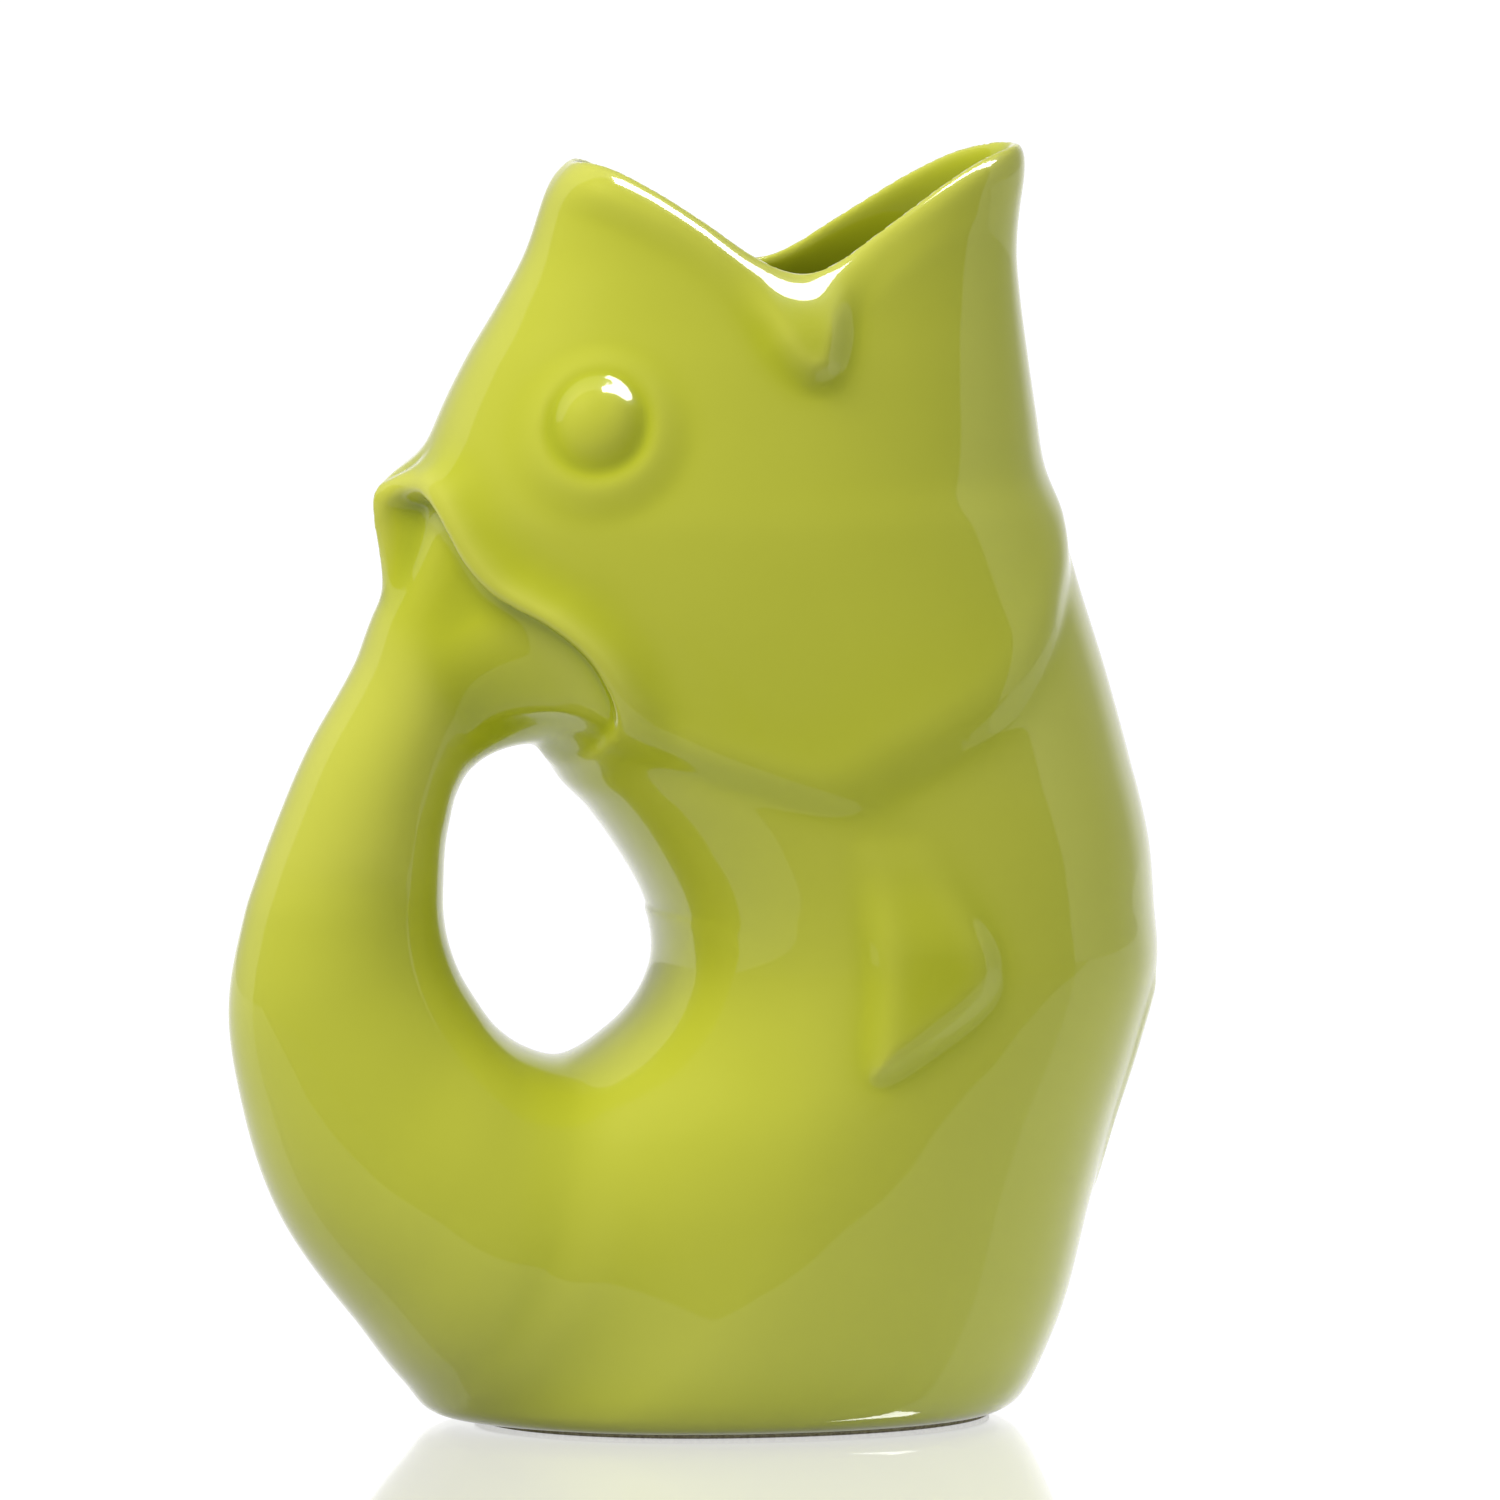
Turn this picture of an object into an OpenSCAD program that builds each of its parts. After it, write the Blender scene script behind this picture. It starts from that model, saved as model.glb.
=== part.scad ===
// Fish-shaped stoneware jug with a hollow tail for a handle.
// +X points to the spout and the belly, -X to the tail, +Z up, and Y = 0 is its plane of symmetry.
// The fired jug is one rigid piece; its nodes are the clay parts that are cast, sprigged and luted.

/* [Jug] */
// Height from the table to the tip of the spout
jug_h = 277; // [240:1:320]
// Half of the length, from the origin to the belly and to the tail alike
reach = 100; // [88:1:112]
// Half of the belly's width
girth = 56; // [48:1:64]
// Wall of the castings
wall = 4.5; // [3.5:0.1:5.5]
// Thickness of the slip that lutes a sprig on
slip_t = 0.12; // [0.1:0.01:0.2]

/* [Foot] */
// Height of the unglazed foot ring
foot_h = 1.5; // [1:0.5:4]
// Width of the foot ring's resting face
foot_w = 7; // [5:0.5:9]
// How far the foot ring is drawn in under the belly
foot_inset = 1.5; // [0.8:0.1:3]
// Thickness of the belly's floor
floor_t = 6; // [4:0.5:8]

/* [Tail] */
// Distance of the finger hole's centre behind the origin
hole_x = 32.5; // [30:0.5:35]
// Height of the finger hole's centre
hole_z = 110; // [106:1:114]
// Radius of the finger hole at its side
hole_r = 23.5; // [21:0.5:26]
// Half of the tail's width at its side
tail_half_w = 21.5; // [18:0.5:25]
// Fillet between the tail and the belly
root_fillet = 14; // [8:1:18]
// Diameter of the port between the belly and the tail
port_d = 34; // [20:1:40]

/* [Mouth] */
// Height of the rolled lip
lip_h = 10; // [8:0.5:12]
// How far the lip stands out of the head
lip_roll = 2.4; // [1:0.1:3.5]
// How far the gill cover stands out over the belly
gill_step = 3; // [1:0.1:4]

/* [Eyes and fins] */
// Radius of an eye
eye_r = 9.2; // [7:0.1:9.6]
// How far an eye stands out
eye_rise = 5.6; // [3:0.1:6.5]
// Radius of the swelling round an eye
socket_r = 17.5; // [15:0.1:19]
// How far the swelling hangs lower than it stands above the eye
socket_drop = 4.5; // [3:0.1:8]
// Inner radius of the swelling round an eye
socket_bore_r = 10; // [9.8:0.1:11]
// How far the swelling stands out
socket_rise = 2.3; // [1:0.1:3]
// How far the boss at a mouth corner stands out
corner_rise = 4; // [2:0.1:5]
// How far a pectoral fin stands out
pectoral_rise = 3; // [1.5:0.1:4]
// How far a pelvic fin stands out
pelvic_rise = 2.6; // [1.5:0.1:4]
// How far the tail fin's rolled edge stands out of the head
fin_rise = 3.2; // [2:0.1:5]
// Thickness of that rolled edge
fin_roll = 4; // [2:0.1:6]

/* [Hidden] */

glaze = [0.72, 0.74, 0.22];
bare_clay = [0.86, 0.82, 0.74];

// Facets round the body, across the tail's seat and round the tail
skin_n = 66;
seat_n = 8;
tube_n = 32;
// Facets round a sprig and the port, and steps of a search
sprig_n = 28;
port_n = 64;
solve_n = 13;
// Length of the cutter that opens the port
port_cut = wall * 4;

// Body outline: height share of jug_h, back and front shares of reach, half-width share of girth
body_shares = [
    [0.000, -0.520, 0.670, 0.830], [0.030, -0.510, 0.728, 0.895], [0.090, -0.470, 0.798, 0.945],
    [0.165, -0.380, 0.850, 0.975], [0.225, -0.270, 0.896, 0.990], [0.290, -0.130, 0.954, 1.000],
    [0.350, -0.072, 0.996, 1.000], [0.400, -0.098, 0.990, 0.990], [0.450, -0.177, 0.975, 0.975],
    [0.510, -0.305, 0.935, 0.950], [0.580, -0.435, 0.882, 0.920], [0.640, -0.530, 0.836, 0.880],
    [0.700, -0.595, 0.786, 0.820], [0.735, -0.602, 0.746, 0.765], [0.780, -0.560, 0.729, 0.690],
    [0.825, -0.495, 0.712, 0.615], [0.865, -0.425, 0.698, 0.545], [0.905, -0.362, 0.690, 0.490],
    [0.945, -0.324, 0.700, 0.455], [0.985, -0.288, 0.724, 0.430], [1.020, -0.260, 0.745, 0.420]
];
// Roundness of the sections: 2 is an ellipse, more is boxier
section_power = 2.15;
// Angle from the front past which the tail's root can reach into a section
root_from = 100;

// Tail outline round the finger hole: angle, inner radius share of hole_r,
// outer radius share of reach, half-width share of tail_half_w
tail_shares = [
    [105, 1.53, 0.870, 0.84], [119, 1.50, 0.744, 0.84], [128, 1.40, 0.672, 0.86],
    [140, 1.23, 0.632, 0.90], [160, 1.05, 0.614, 0.97], [180, 1.00, 0.652, 1.00],
    [197, 0.99, 0.722, 1.10], [212, 1.01, 0.776, 1.24], [228, 1.06, 0.858, 1.43],
    [244, 1.17, 0.948, 1.68], [259, 1.27, 1.098, 1.86], [275, 1.35, 1.070, 1.93],
    [300, 1.34, 0.940, 1.86], [335, 1.45, 0.700, 1.40]
];
root_turn = 259;
tip_turn = 119;

// Gill line: angle round the body from the front, height share of jug_h
gill_shares = [
    [0, 0.722], [20, 0.668], [32, 0.640], [43, 0.605], [62, 0.553], [85, 0.513],
    [102, 0.489], [118, 0.503], [145, 0.538], [165, 0.562], [180, 0.570]
];
// How much of gill_step stands at each angle
step_shares = [[0, 0.15], [20, 0.7], [45, 1], [120, 1], [140, 0.6], [158, 0.04], [180, 0.04]];

// Crest of the lip: place along X as a share of reach, height share of jug_h
rim_shares = [
    [-0.34, 0.982], [-0.24, 0.981], [-0.13, 0.961], [-0.02, 0.935], [0.09, 0.907],
    [0.175, 0.895], [0.245, 0.902], [0.337, 0.924], [0.41, 0.941], [0.50, 0.961],
    [0.60, 0.980], [0.72, 0.994], [0.80, 0.998]
];
// Lip section: height share of lip_h, share of lip_roll outwards, share of wall inwards
lip_shares = [
    [0, 0, 0], [0.10, 0.6, 0], [0.32, 1, 0], [0.58, 0.95, 0], [0.8, 0.6, 0.05],
    [0.94, 0.15, 0.2], [1, 0, 0.5], [0.95, 0, 0.85], [0.78, 0, 1.05], [0.4, 0, 1.02], [0, 0, 1]
];

// How much of lip_roll stands at each angle
roll_shares = [[0, 0.25], [25, 0.7], [50, 1], [140, 1], [160, 0.6], [180, 0.15]];

// Places on the body: angle from the front and height share of jug_h
eye_shares = [124.5, 0.782];
corner_shares = [87, 0.838];
// Outline of a mouth corner's boss: steps in angle and in share of jug_h
corner_outline_shares = [
    [12, 0.032], [12, 0.014], [8, -0.004], [3, -0.022], [-3, -0.032], [-8, -0.031], [-12, -0.020],
    [-13, 0.001], [-12.5, 0.018], [-11, 0.030], [-6, 0.021], [0, 0.016], [6, 0.022]
];
pectoral_outline_shares = [
    [100, 0.458], [91, 0.467], [83, 0.462], [82.4, 0.418], [78.5, 0.372], [79.8, 0.332],
    [88, 0.295], [97.4, 0.268], [105, 0.300], [111, 0.345], [110, 0.395], [104.5, 0.432]
];
pelvic_outline_shares = [
    [21, 0.345], [14, 0.330], [10, 0.280], [8, 0.220], [9, 0.165], [13, 0.150],
    [18, 0.175], [23, 0.230], [26, 0.285], [26, 0.325]
];
// Section of a sprig: share of its outline, share of its rise
pad_shares = [[1, 0.0], [0.985, 0.35], [0.94, 0.75], [0.87, 0.97], [0.78, 1.0], [0.6, 0.93], [0.3, 0.86]];
dome_shares = [[1, 0.0], [0.98, 0.3], [0.93, 0.55], [0.84, 0.76], [0.68, 0.9], [0.45, 0.98], [0.2, 1.0]];
swell_shares = [[1, 0.0], [0.82, 0.35], [0.6, 0.85], [0.4, 1.0], [0.2, 0.75], [0.05, 0.3]];
sprig_seat_shares = [0.3, 0.6, 0.85];

// Rolled edge of the tail fin on the body: turn round the tail, angle from the front,
// height above the finger hole's centre as a share of reach, share of fin_rise
fin_edge_shares = [
    [0, 180, 0.335, 0.2], [20, 164, 0.345, 0.2], [35, 150, 0.375, 0.25], [48, 139, 0.415, 0.35],
    [58, 136, 0.467, 0.5], [68, 135.5, 0.516, 0.8], [78, 135.5, 0.565, 0.95], [88, 136, 0.612, 1.05],
    [98, 139, 0.656, 1.2], [108, 144, 0.689, 1.35], [118, 148, 0.724, 1.5], [128, 151.5, 0.774, 1.7],
    [136, 152.5, 0.830, 1.8], [143, 153.5, 0.875, 2.05], [150, 156, 0.906, 2.45], [160, 161, 0.923, 2.95],
    [170, 169, 0.915, 3.25], [180, 180, 0.890, 3.3]
];
fin_centre_share = 0.59;
// Flare of the tail fin as shares of the way to its edge, and the section of the rolled edge:
// share of fin_roll outwards, share of fin_rise
flare_shares = [0.1, 0.22, 0.36, 0.51, 0.66, 0.8, 0.92];
flare_leave_share = 0.6;
flare_arrive_share = 0.5;
fin_roll_shares = [[0, 1], [0.4, 0.98], [0.75, 0.75], [0.95, 0.4], [1, 0]];
// Share of fin_rise past which the rolled edge grows as wide as it grows high
fin_wide_share = 2;
fin_seat_shares = [0.9, 0.7, 0.5, 0.3];

hole_c = [-hole_x, hole_z];
tail_angles = [for (row = tail_shares) row[0]];

// Row of a table that holds value s, and smooth and straight readings of column c there
function row_at(tab, s) = max([for (i = [0:len(tab) - 2]) if (i == 0 || tab[i][0] <= s) i]);
function slope(tab, i, c) =
    let (a = max(i - 1, 0), b = min(i + 1, len(tab) - 1)) (tab[b][c] - tab[a][c]) / (tab[b][0] - tab[a][0]);
function read(tab, s, c) =
    let (i = row_at(tab, s), w = tab[i + 1][0] - tab[i][0], u = (s - tab[i][0]) / w)
    (1 + 2 * u) * pow(1 - u, 2) * tab[i][c] + u * pow(1 - u, 2) * w * slope(tab, i, c)
    + u * u * (3 - 2 * u) * tab[i + 1][c] + u * u * (u - 1) * w * slope(tab, i + 1, c);

// Section of the body at height z: centre, half-length and half-width
function section(z) =
    let (s = z / jug_h, back = read(body_shares, s, 1) * reach, front = read(body_shares, s, 2) * reach)
    [(back + front) / 2, (front - back) / 2, read(body_shares, s, 3) * girth];

// Section of the tail at angle f round the finger hole: centre radius, half-thickness, half-width
function tube(f) =
    let (inner = read(tail_shares, f, 1) * hole_r, outer = read(tail_shares, f, 2) * reach)
    [(inner + outer) / 2, (outer - inner) / 2, read(tail_shares, f, 3) * tail_half_w];

// Distance of a point outside the body, the tail, and both blended together
function body_gap(p, sec) =
    let (u = pow(abs((p.x - sec[0]) / sec[1]), section_power), v = pow(abs(p.y / sec[2]), section_power))
    (pow(u + v, 1 / section_power) - 1) * min(sec[1], sec[2]);
function tail_gap(p) =
    let (dx = p.x - hole_c[0], dz = p.z - hole_c[1], turn = atan2(dz, dx), f = turn < 0 ? turn + 360 : turn)
    f < tail_angles[0] || f > tail_angles[len(tail_angles) - 1] ? reach :
    let (t = tube(f)) (norm([(norm([dx, dz]) - t[0]) / t[1], p.y / t[2]]) - 1) * min(t[1], t[2]);
function blend(a, b) = let (h = max(root_fillet - abs(a - b), 0)) min(a, b) - h * h / root_fillet / 4;
function skin_gap(p, sec) = blend(body_gap(p, sec), tail_gap(p));

// Distance along a ray in the section at height z to where the gap is -depth
function solve(o, d, sec, depth, lo, hi, n = solve_n) =
    let (mid = (lo + hi) / 2) n == 0 ? mid :
    skin_gap(o + mid * d, sec) < -depth ? solve(o, d, sec, depth, mid, hi, n - 1)
    : solve(o, d, sec, depth, lo, mid, n - 1);

// Angle from the front turned into a point on the body, depth below its skin
function on_body(a, z, depth = 0) =
    let (s = section(z), c = cos(a), t = sin(a),
         k = pow(pow(abs(c), section_power) + pow(abs(t), section_power), -1 / section_power))
    [s[0] + (s[1] - depth) * k * c, (s[2] - depth) * k * t, z];
// The same, with the tail's root blended in where it reaches
function on_skin(a, z, depth = 0) =
    let (p = on_body(a, z, depth), s = section(z)) wrap(a) < root_from || z > hole_z + hole_r ? p :
    let (o = [s[0], 0, z], d = (p - o) / norm(p - o)) o + d * solve(o, d, s, depth, 0, s[0] + reach);
function normal_at(a, z) =
    let (u = on_body(a + 1, z) - on_body(a - 1, z), v = on_body(a, z + wall) - on_body(a, z - wall),
         n = cross(u, v)) n / norm(n);
function on_side(a, z, rise) = on_body(a, z) + rise * normal_at(a, z);

// Plane on which the tail is luted, from the finger hole down to the foot
seat_dir = [cos(root_turn), sin(root_turn)];
function seat_x(z, depth) = hole_c[0] + (z - hole_c[1]) * seat_dir[0] / seat_dir[1] - depth / seat_dir[1];
// Half-width of the seat at height z
function seat_half(z, depth, lo, hi, n = solve_n) =
    let (mid = (lo + hi) / 2) n == 0 ? mid :
    skin_gap([seat_x(z, depth), mid, z], section(z)) < -depth ? seat_half(z, depth, mid, hi, n - 1)
    : seat_half(z, depth, lo, mid, n - 1);

// Angles of the full rings: a fan of seat_n steps at the back and skin_n steps round the rest
back_turn = 20;
ring_angles = concat(
    [for (i = [0:skin_n - 1]) back_turn - 180 + (360 - 2 * back_turn) * i / skin_n],
    [for (i = [0:seat_n - 1]) 180 - back_turn + 2 * back_turn * i / seat_n]
);
ring_n = len(ring_angles);
function wrap(a) = a > 180 ? abs(a - 360) : abs(a);

// Ring at height z below the finger hole, cut flat at the tail's seat
function seat_ring(z, depth) =
    let (s = section(z), x = seat_x(z, depth), y = seat_half(z, depth, 0, girth),
         a0 = atan2(y / s[2], (x - s[0]) / s[1]))
    concat(
        [[x, -y, z]],
        [for (i = [1:skin_n - 1]) on_skin(-a0 + 2 * a0 * i / skin_n, z, depth)],
        [for (i = [0:seat_n - 1]) [x, y - 2 * y * i / seat_n, z]]
    );
function full_ring(z, depth) = [for (a = ring_angles) on_skin(a, z, depth)];
function gill_z(a) = read(gill_shares, wrap(a), 1) * jug_h;

// Levels of the belly's rings as shares of the way up to the neck under the finger hole, from there
// to the upper base, and from there to the gill line
hole_low = hole_z - read(tail_shares, root_turn, 1) * hole_r;
neck_share = 1.3;
seat_level_shares = [0.035, 0.1, 0.2, 0.32, 0.45, 0.58, 0.7, 0.8, 0.88, 0.94, 0.98, 0.997];
full_level_shares = [0.012, 0.035, 0.07, 0.14, 0.24, 0.38, 0.55, 0.75, 1];
upper_shares = [0.3, 0.65, 1];
upper_base_share = 0.55;
upper_base = hole_z + hole_r * upper_base_share;

function belly_rings(depth, low) =
    let (neck = hole_low - depth * neck_share)
    concat(
        [seat_ring(low, depth)],
        [for (s = seat_level_shares) if (neck * s > low + wall / 2) seat_ring(neck * s, depth)],
        [for (s = full_level_shares) full_ring(neck + (upper_base - neck) * s, depth)],
        [for (s = upper_shares) [for (a = ring_angles)
            on_skin(a, upper_base + (gill_z(a) - upper_base) * s, depth)]]
    );

// Solid between an outer and an inner stack of rings that both open upwards
function joined(rings) = [for (r = rings) each r];
function band(n, k) = [for (i = [0:n - 1]) let (a = k * n + i, b = k * n + (i + 1) % n)
    each [[a, b, a + n], [b, b + n, a + n]]];
function tube_faces(n, m) = [for (k = [0:m - 2]) each band(n, k)];
function loop_faces(n, m) = concat(
    tube_faces(n, m),
    [for (i = [0:n - 1]) let (a = (m - 1) * n + i, b = (m - 1) * n + (i + 1) % n, c = i, d = (i + 1) % n)
        each [[a, b, c], [b, d, c]]]
);
function flip(faces) = [for (f = faces) [for (i = [len(f) - 1:-1:0]) f[i]]];
function turned(rings) = [for (i = [len(rings) - 1:-1:0]) rings[i]];

// Stack of rings that a pole closes at each end
function pole_faces(n, m, low, high) = concat(
    tube_faces(n, m),
    [for (i = [0:n - 1]) [low, (i + 1) % n, i]],
    [for (i = [0:n - 1]) [high, (m - 1) * n + i, (m - 1) * n + (i + 1) % n]]
);

module belly_casting() {
    floor_z = foot_h + floor_t;
    rings = concat(belly_rings(0, foot_h), turned(belly_rings(wall, floor_z)));
    m = len(rings);
    t = tube(root_turn);
    color(glaze) difference() {
        polyhedron(
            concat(joined(rings), [[section(foot_h)[0], 0, foot_h], [section(floor_z)[0], 0, floor_z]]),
            flip(pole_faces(ring_n, m, m * ring_n, m * ring_n + 1))
        );
        translate([hole_c[0] + seat_dir[0] * t[0], 0, hole_c[1] + seat_dir[1] * t[0]])
            rotate([0, 180 - root_turn, 0]) cylinder(h = port_cut, d = port_d, center = true, $fn = port_n);
    }
}

// Head: from the gill line up to the seat of the lip
// Its levels as shares of the way, and the share of it over which the gill cover's step fades out
head_level_shares = [0.05, 0.11, 0.18, 0.26, 0.35, 0.44, 0.53, 0.62, 0.71, 0.8, 0.9, 1];
step_fade_share = 0.45;
function rim_z(a) =
    let (x1 = on_body(a, rim_shares[3][1] * jug_h).x, z1 = read(rim_shares, x1 / reach, 1) * jug_h)
    read(rim_shares, on_body(a, z1).x / reach, 1) * jug_h;
function seat_z(a) = rim_z(a) - lip_h;
function head_z(a, s) = gill_z(a) + (seat_z(a) - gill_z(a)) * s;
function step_at(a, s) = gill_step * read(step_shares, wrap(a), 1) * pow(max(1 - s / step_fade_share, 0), 2);
function head_ring(s, rise, depth) =
    [for (a = ring_angles) on_body(a, head_z(a, s), depth - rise * step_at(a, s))];

module head_casting() {
    rings = concat(
        [head_ring(0, 0, 0), head_ring(0, 1, 0)],
        [for (s = head_level_shares) head_ring(s, 1, 0)],
        [for (s = turned(head_level_shares)) head_ring(s, 0, wall)],
        [head_ring(0, 0, wall)]
    );
    color(glaze) polyhedron(joined(rings), flip(loop_faces(ring_n, len(rings))));
}

function roll_at(a) = lip_roll * read(roll_shares, wrap(a), 1);

module mouth_lip() {
    rings = [for (row = lip_shares) [for (a = ring_angles)
        on_body(a, seat_z(a) + row[0] * lip_h, row[2] * wall - row[1] * roll_at(a))]];
    color(glaze) polyhedron(joined(rings), flip(loop_faces(ring_n, len(rings))));
}

// Tail: rings in planes through the finger hole's centre, from the belly round to the fin
tail_turns = [
    root_turn, 254, 248, 241, 233, 225, 216, 206, 195, 184, 173, 162, 151, 141, 133, 126, tip_turn
];
// Angle past which the tail blends into the belly
blend_from = 200;
function tail_point(f, rho, y) = [hole_c[0] + rho * cos(f), y, hole_c[1] + rho * sin(f)];
function solve_tail(f, t, psi, depth, lo, hi, n = solve_n) =
    let (q = (lo + hi) / 2, p = tail_point(f, t[0] - q * cos(psi), q * sin(psi))) n == 0 ? q :
    skin_gap(p, section(max(p.z, 0))) < -depth ? solve_tail(f, t, psi, depth, q, hi, n - 1)
    : solve_tail(f, t, psi, depth, lo, q, n - 1);
function tail_ring(f, depth, low) =
    let (t = tube(f)) [for (i = [0:tube_n - 1])
        let (psi = 360 * i / tube_n,
             q0 = 1 / norm([cos(psi) / (t[1] - depth), sin(psi) / (t[2] - depth)]),
             q = f > blend_from ? solve_tail(f, t, psi, depth, 0, t[1] + t[2]) : q0,
             p = tail_point(f, t[0] - q * cos(psi), q * sin(psi)))
        [p.x, p.y, max(p.z, low)]];

module tail_casting() {
    rings = concat(
        [for (f = tail_turns) tail_ring(f, 0, foot_h)],
        [for (f = turned(tail_turns)) tail_ring(f, wall, foot_h + floor_t)]
    );
    color(glaze) polyhedron(joined(rings), flip(loop_faces(tube_n, len(rings))));
}

// Tail fin: flares from the end of the tail to its rolled edge, which lies on the head and the belly
function fin_point(psi, s, rise) =
    let (w = wrap(psi), side = psi > 180 ? -1 : 1,
         a = 180 - (180 - read(fin_edge_shares, w, 1)) * s,
         z = hole_z + (fin_centre_share + (read(fin_edge_shares, w, 2) - fin_centre_share) * s) * reach,
         p = on_side(a, z, slip_t + gill_step * read(step_shares, a, 1) + rise * read(fin_edge_shares, w, 3)))
    [p.x, side * p.y, p.z];
function roll_wide(psi) = fin_roll * max(read(fin_edge_shares, wrap(psi), 3) / fin_wide_share, 1);
// The edge, grown by some way along the body
function fin_edge(psi, grow, rise) =
    let (span = norm(fin_point(psi, 1 + slip_t, 0) - fin_point(psi, 1, 0)) / slip_t)
    fin_point(psi, 1 + grow / span, rise);

// Point of the flare at share u of its way: it leaves along the tail and arrives along the body
function flared(p, q, past, u) =
    let (leave = [sin(tip_turn), 0, -cos(tip_turn)] * norm(q - p) * flare_leave_share,
         arrive = (past - q) / norm(past - q) * norm(q - p) * flare_arrive_share)
    (1 + 2 * u) * pow(1 - u, 2) * p + u * pow(1 - u, 2) * leave + u * u * (3 - 2 * u) * q
    + u * u * (u - 1) * arrive;

module tail_fin() {
    foot = tail_ring(tip_turn, 0, 0);
    turns = [for (i = [0:tube_n - 1]) 360 * i / tube_n];
    rings = concat(
        [foot],
        [for (row = flare_shares) [for (i = [0:tube_n - 1])
            flared(foot[i], fin_edge(turns[i], 0, fin_rise), fin_edge(turns[i], fin_roll, fin_rise), row)]],
        [for (row = fin_roll_shares) [for (psi = turns)
            fin_edge(psi, row[0] * roll_wide(psi), row[1] * fin_rise)]],
        [for (s = fin_seat_shares) [for (psi = turns) fin_point(psi, s, 0)]]
    );
    m = len(rings);
    color(glaze) polyhedron(
        concat(joined(rings), [tail_point(tip_turn, tube(tip_turn)[0], 0), fin_point(180, 0, 0)]),
        flip(pole_faces(tube_n, m, m * tube_n, m * tube_n + 1))
    );
}

// Sprigs: pads that lie on the body, with an outline in angles and heights
function closed_at(pts, u) =
    let (n = len(pts), i = floor(u), v = u - i, p0 = pts[(i + n - 1) % n], p1 = pts[i % n],
         p2 = pts[(i + 1) % n], p3 = pts[(i + 2) % n])
    0.5 * (2 * p1 + (p2 - p0) * v + (2 * p0 - 5 * p1 + 4 * p2 - p3) * v * v
    + (3 * p1 - p0 - 3 * p2 + p3) * v * v * v);
function rounded(pts) = [for (i = [0:sprig_n - 1]) closed_at(pts, len(pts) * i / sprig_n)];
function middle(pts) = [for (k = [0, 1]) [for (p = pts) 1] * [for (p = pts) p[k]] / len(pts)];
// Circle of radius r on the body, drawn down by some drop at its lower end
function disc(centre, r, drop) =
    let (z = centre[1] * jug_h, along = on_body(centre[0] + 1, z) - on_body(centre[0], z),
         up = (on_body(centre[0], z + slip_t) - on_body(centre[0], z)) / slip_t,
         lean = up * along / norm(along), steep = norm(up - lean * along / norm(along)))
    [for (i = [0:sprig_n - 1])
        let (w = 360 * i / sprig_n, high = (r * sin(w) - drop * (1 - sin(w)) / 2) / steep)
        centre + [(r * cos(w) - high * lean) / norm(along), high / jug_h]];
function sprig_ring(pts, c, s, rise) =
    [for (p = pts) let (q = c + (p - c) * s) on_side(q[0], q[1] * jug_h, slip_t + rise)];

module sprig(pts, shares, rise) {
    c = middle(pts);
    last = shares[len(shares) - 1];
    rings = concat(
        [for (s = sprig_seat_shares) sprig_ring(pts, c, s, 0)],
        [for (row = shares) sprig_ring(pts, c, row[0], row[1] * rise)]
    );
    m = len(rings);
    polyhedron(
        concat(joined(rings), sprig_ring([c], c, 0, 0), sprig_ring([c], c, 0, last[1] * rise)),
        flip(pole_faces(sprig_n, m, m * sprig_n, m * sprig_n + 1))
    );
}
// The same with an open middle round a centre
module swelling(pts, c, shares, rise, open) {
    rings = concat(
        [for (row = shares) sprig_ring(pts, c, open + (1 - open) * row[0], row[1] * rise)],
        [for (s = [0, 0.5]) sprig_ring(pts, c, open + (1 - open) * s, 0)]
    );
    polyhedron(joined(rings), flip(loop_faces(sprig_n, len(rings))));
}

module left_eye() {
    color(glaze) sprig(disc(eye_shares, eye_r, 0), dome_shares, eye_rise);
}
module left_eye_socket() {
    color(glaze) swelling(disc(eye_shares, socket_r, socket_drop), eye_shares, swell_shares, socket_rise,
                          socket_bore_r / socket_r);
}
module left_mouth_corner() {
    outline = [for (p = corner_outline_shares) corner_shares + p];
    color(glaze) sprig(rounded(outline), dome_shares, corner_rise);
}
module left_pectoral_fin() {
    color(glaze) sprig(rounded(pectoral_outline_shares), pad_shares, pectoral_rise);
}
module left_pelvic_fin() {
    color(glaze) sprig(rounded(pelvic_outline_shares), dome_shares, pelvic_rise);
}
module right_eye() mirror([0, 1, 0]) left_eye();
module right_eye_socket() mirror([0, 1, 0]) left_eye_socket();
module right_mouth_corner() mirror([0, 1, 0]) left_mouth_corner();
module right_pectoral_fin() mirror([0, 1, 0]) left_pectoral_fin();
module right_pelvic_fin() mirror([0, 1, 0]) left_pelvic_fin();

module foot_outline(depth) polygon([for (i = [0:ring_n - 1])
    let (p = on_body(360 * i / ring_n, foot_h, depth)) [p.x, p.y]]);
module foot_ring() {
    color(bare_clay) linear_extrude(foot_h) difference() {
        foot_outline(foot_inset);
        foot_outline(foot_inset + foot_w);
    }
}

belly_casting();
head_casting();
mouth_lip();
tail_casting();
tail_fin();
foot_ring();
right_eye();
left_eye();
right_eye_socket();
left_eye_socket();
right_mouth_corner();
left_mouth_corner();
right_pectoral_fin();
left_pectoral_fin();
right_pelvic_fin();
left_pelvic_fin();
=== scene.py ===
"""Looks of a fish-shaped stoneware jug under a glossy yellow-green glaze.

+X points to the spout and the belly, -X to the tail that serves as the handle, and +Z up. Y = 0 is the
plane of symmetry. The clay parts melt into one skin under the glaze, so the glazed surface is worked
out here as one smooth field of distances, in millimetres, and is turned into one closed mesh. The
unglazed foot ring under it is swept along the outline of the belly's base.
"""

import logging
import math
from dataclasses import dataclass, field

import bpy
import numpy as np
import openvdb
from mathutils import Matrix, Vector


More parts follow.
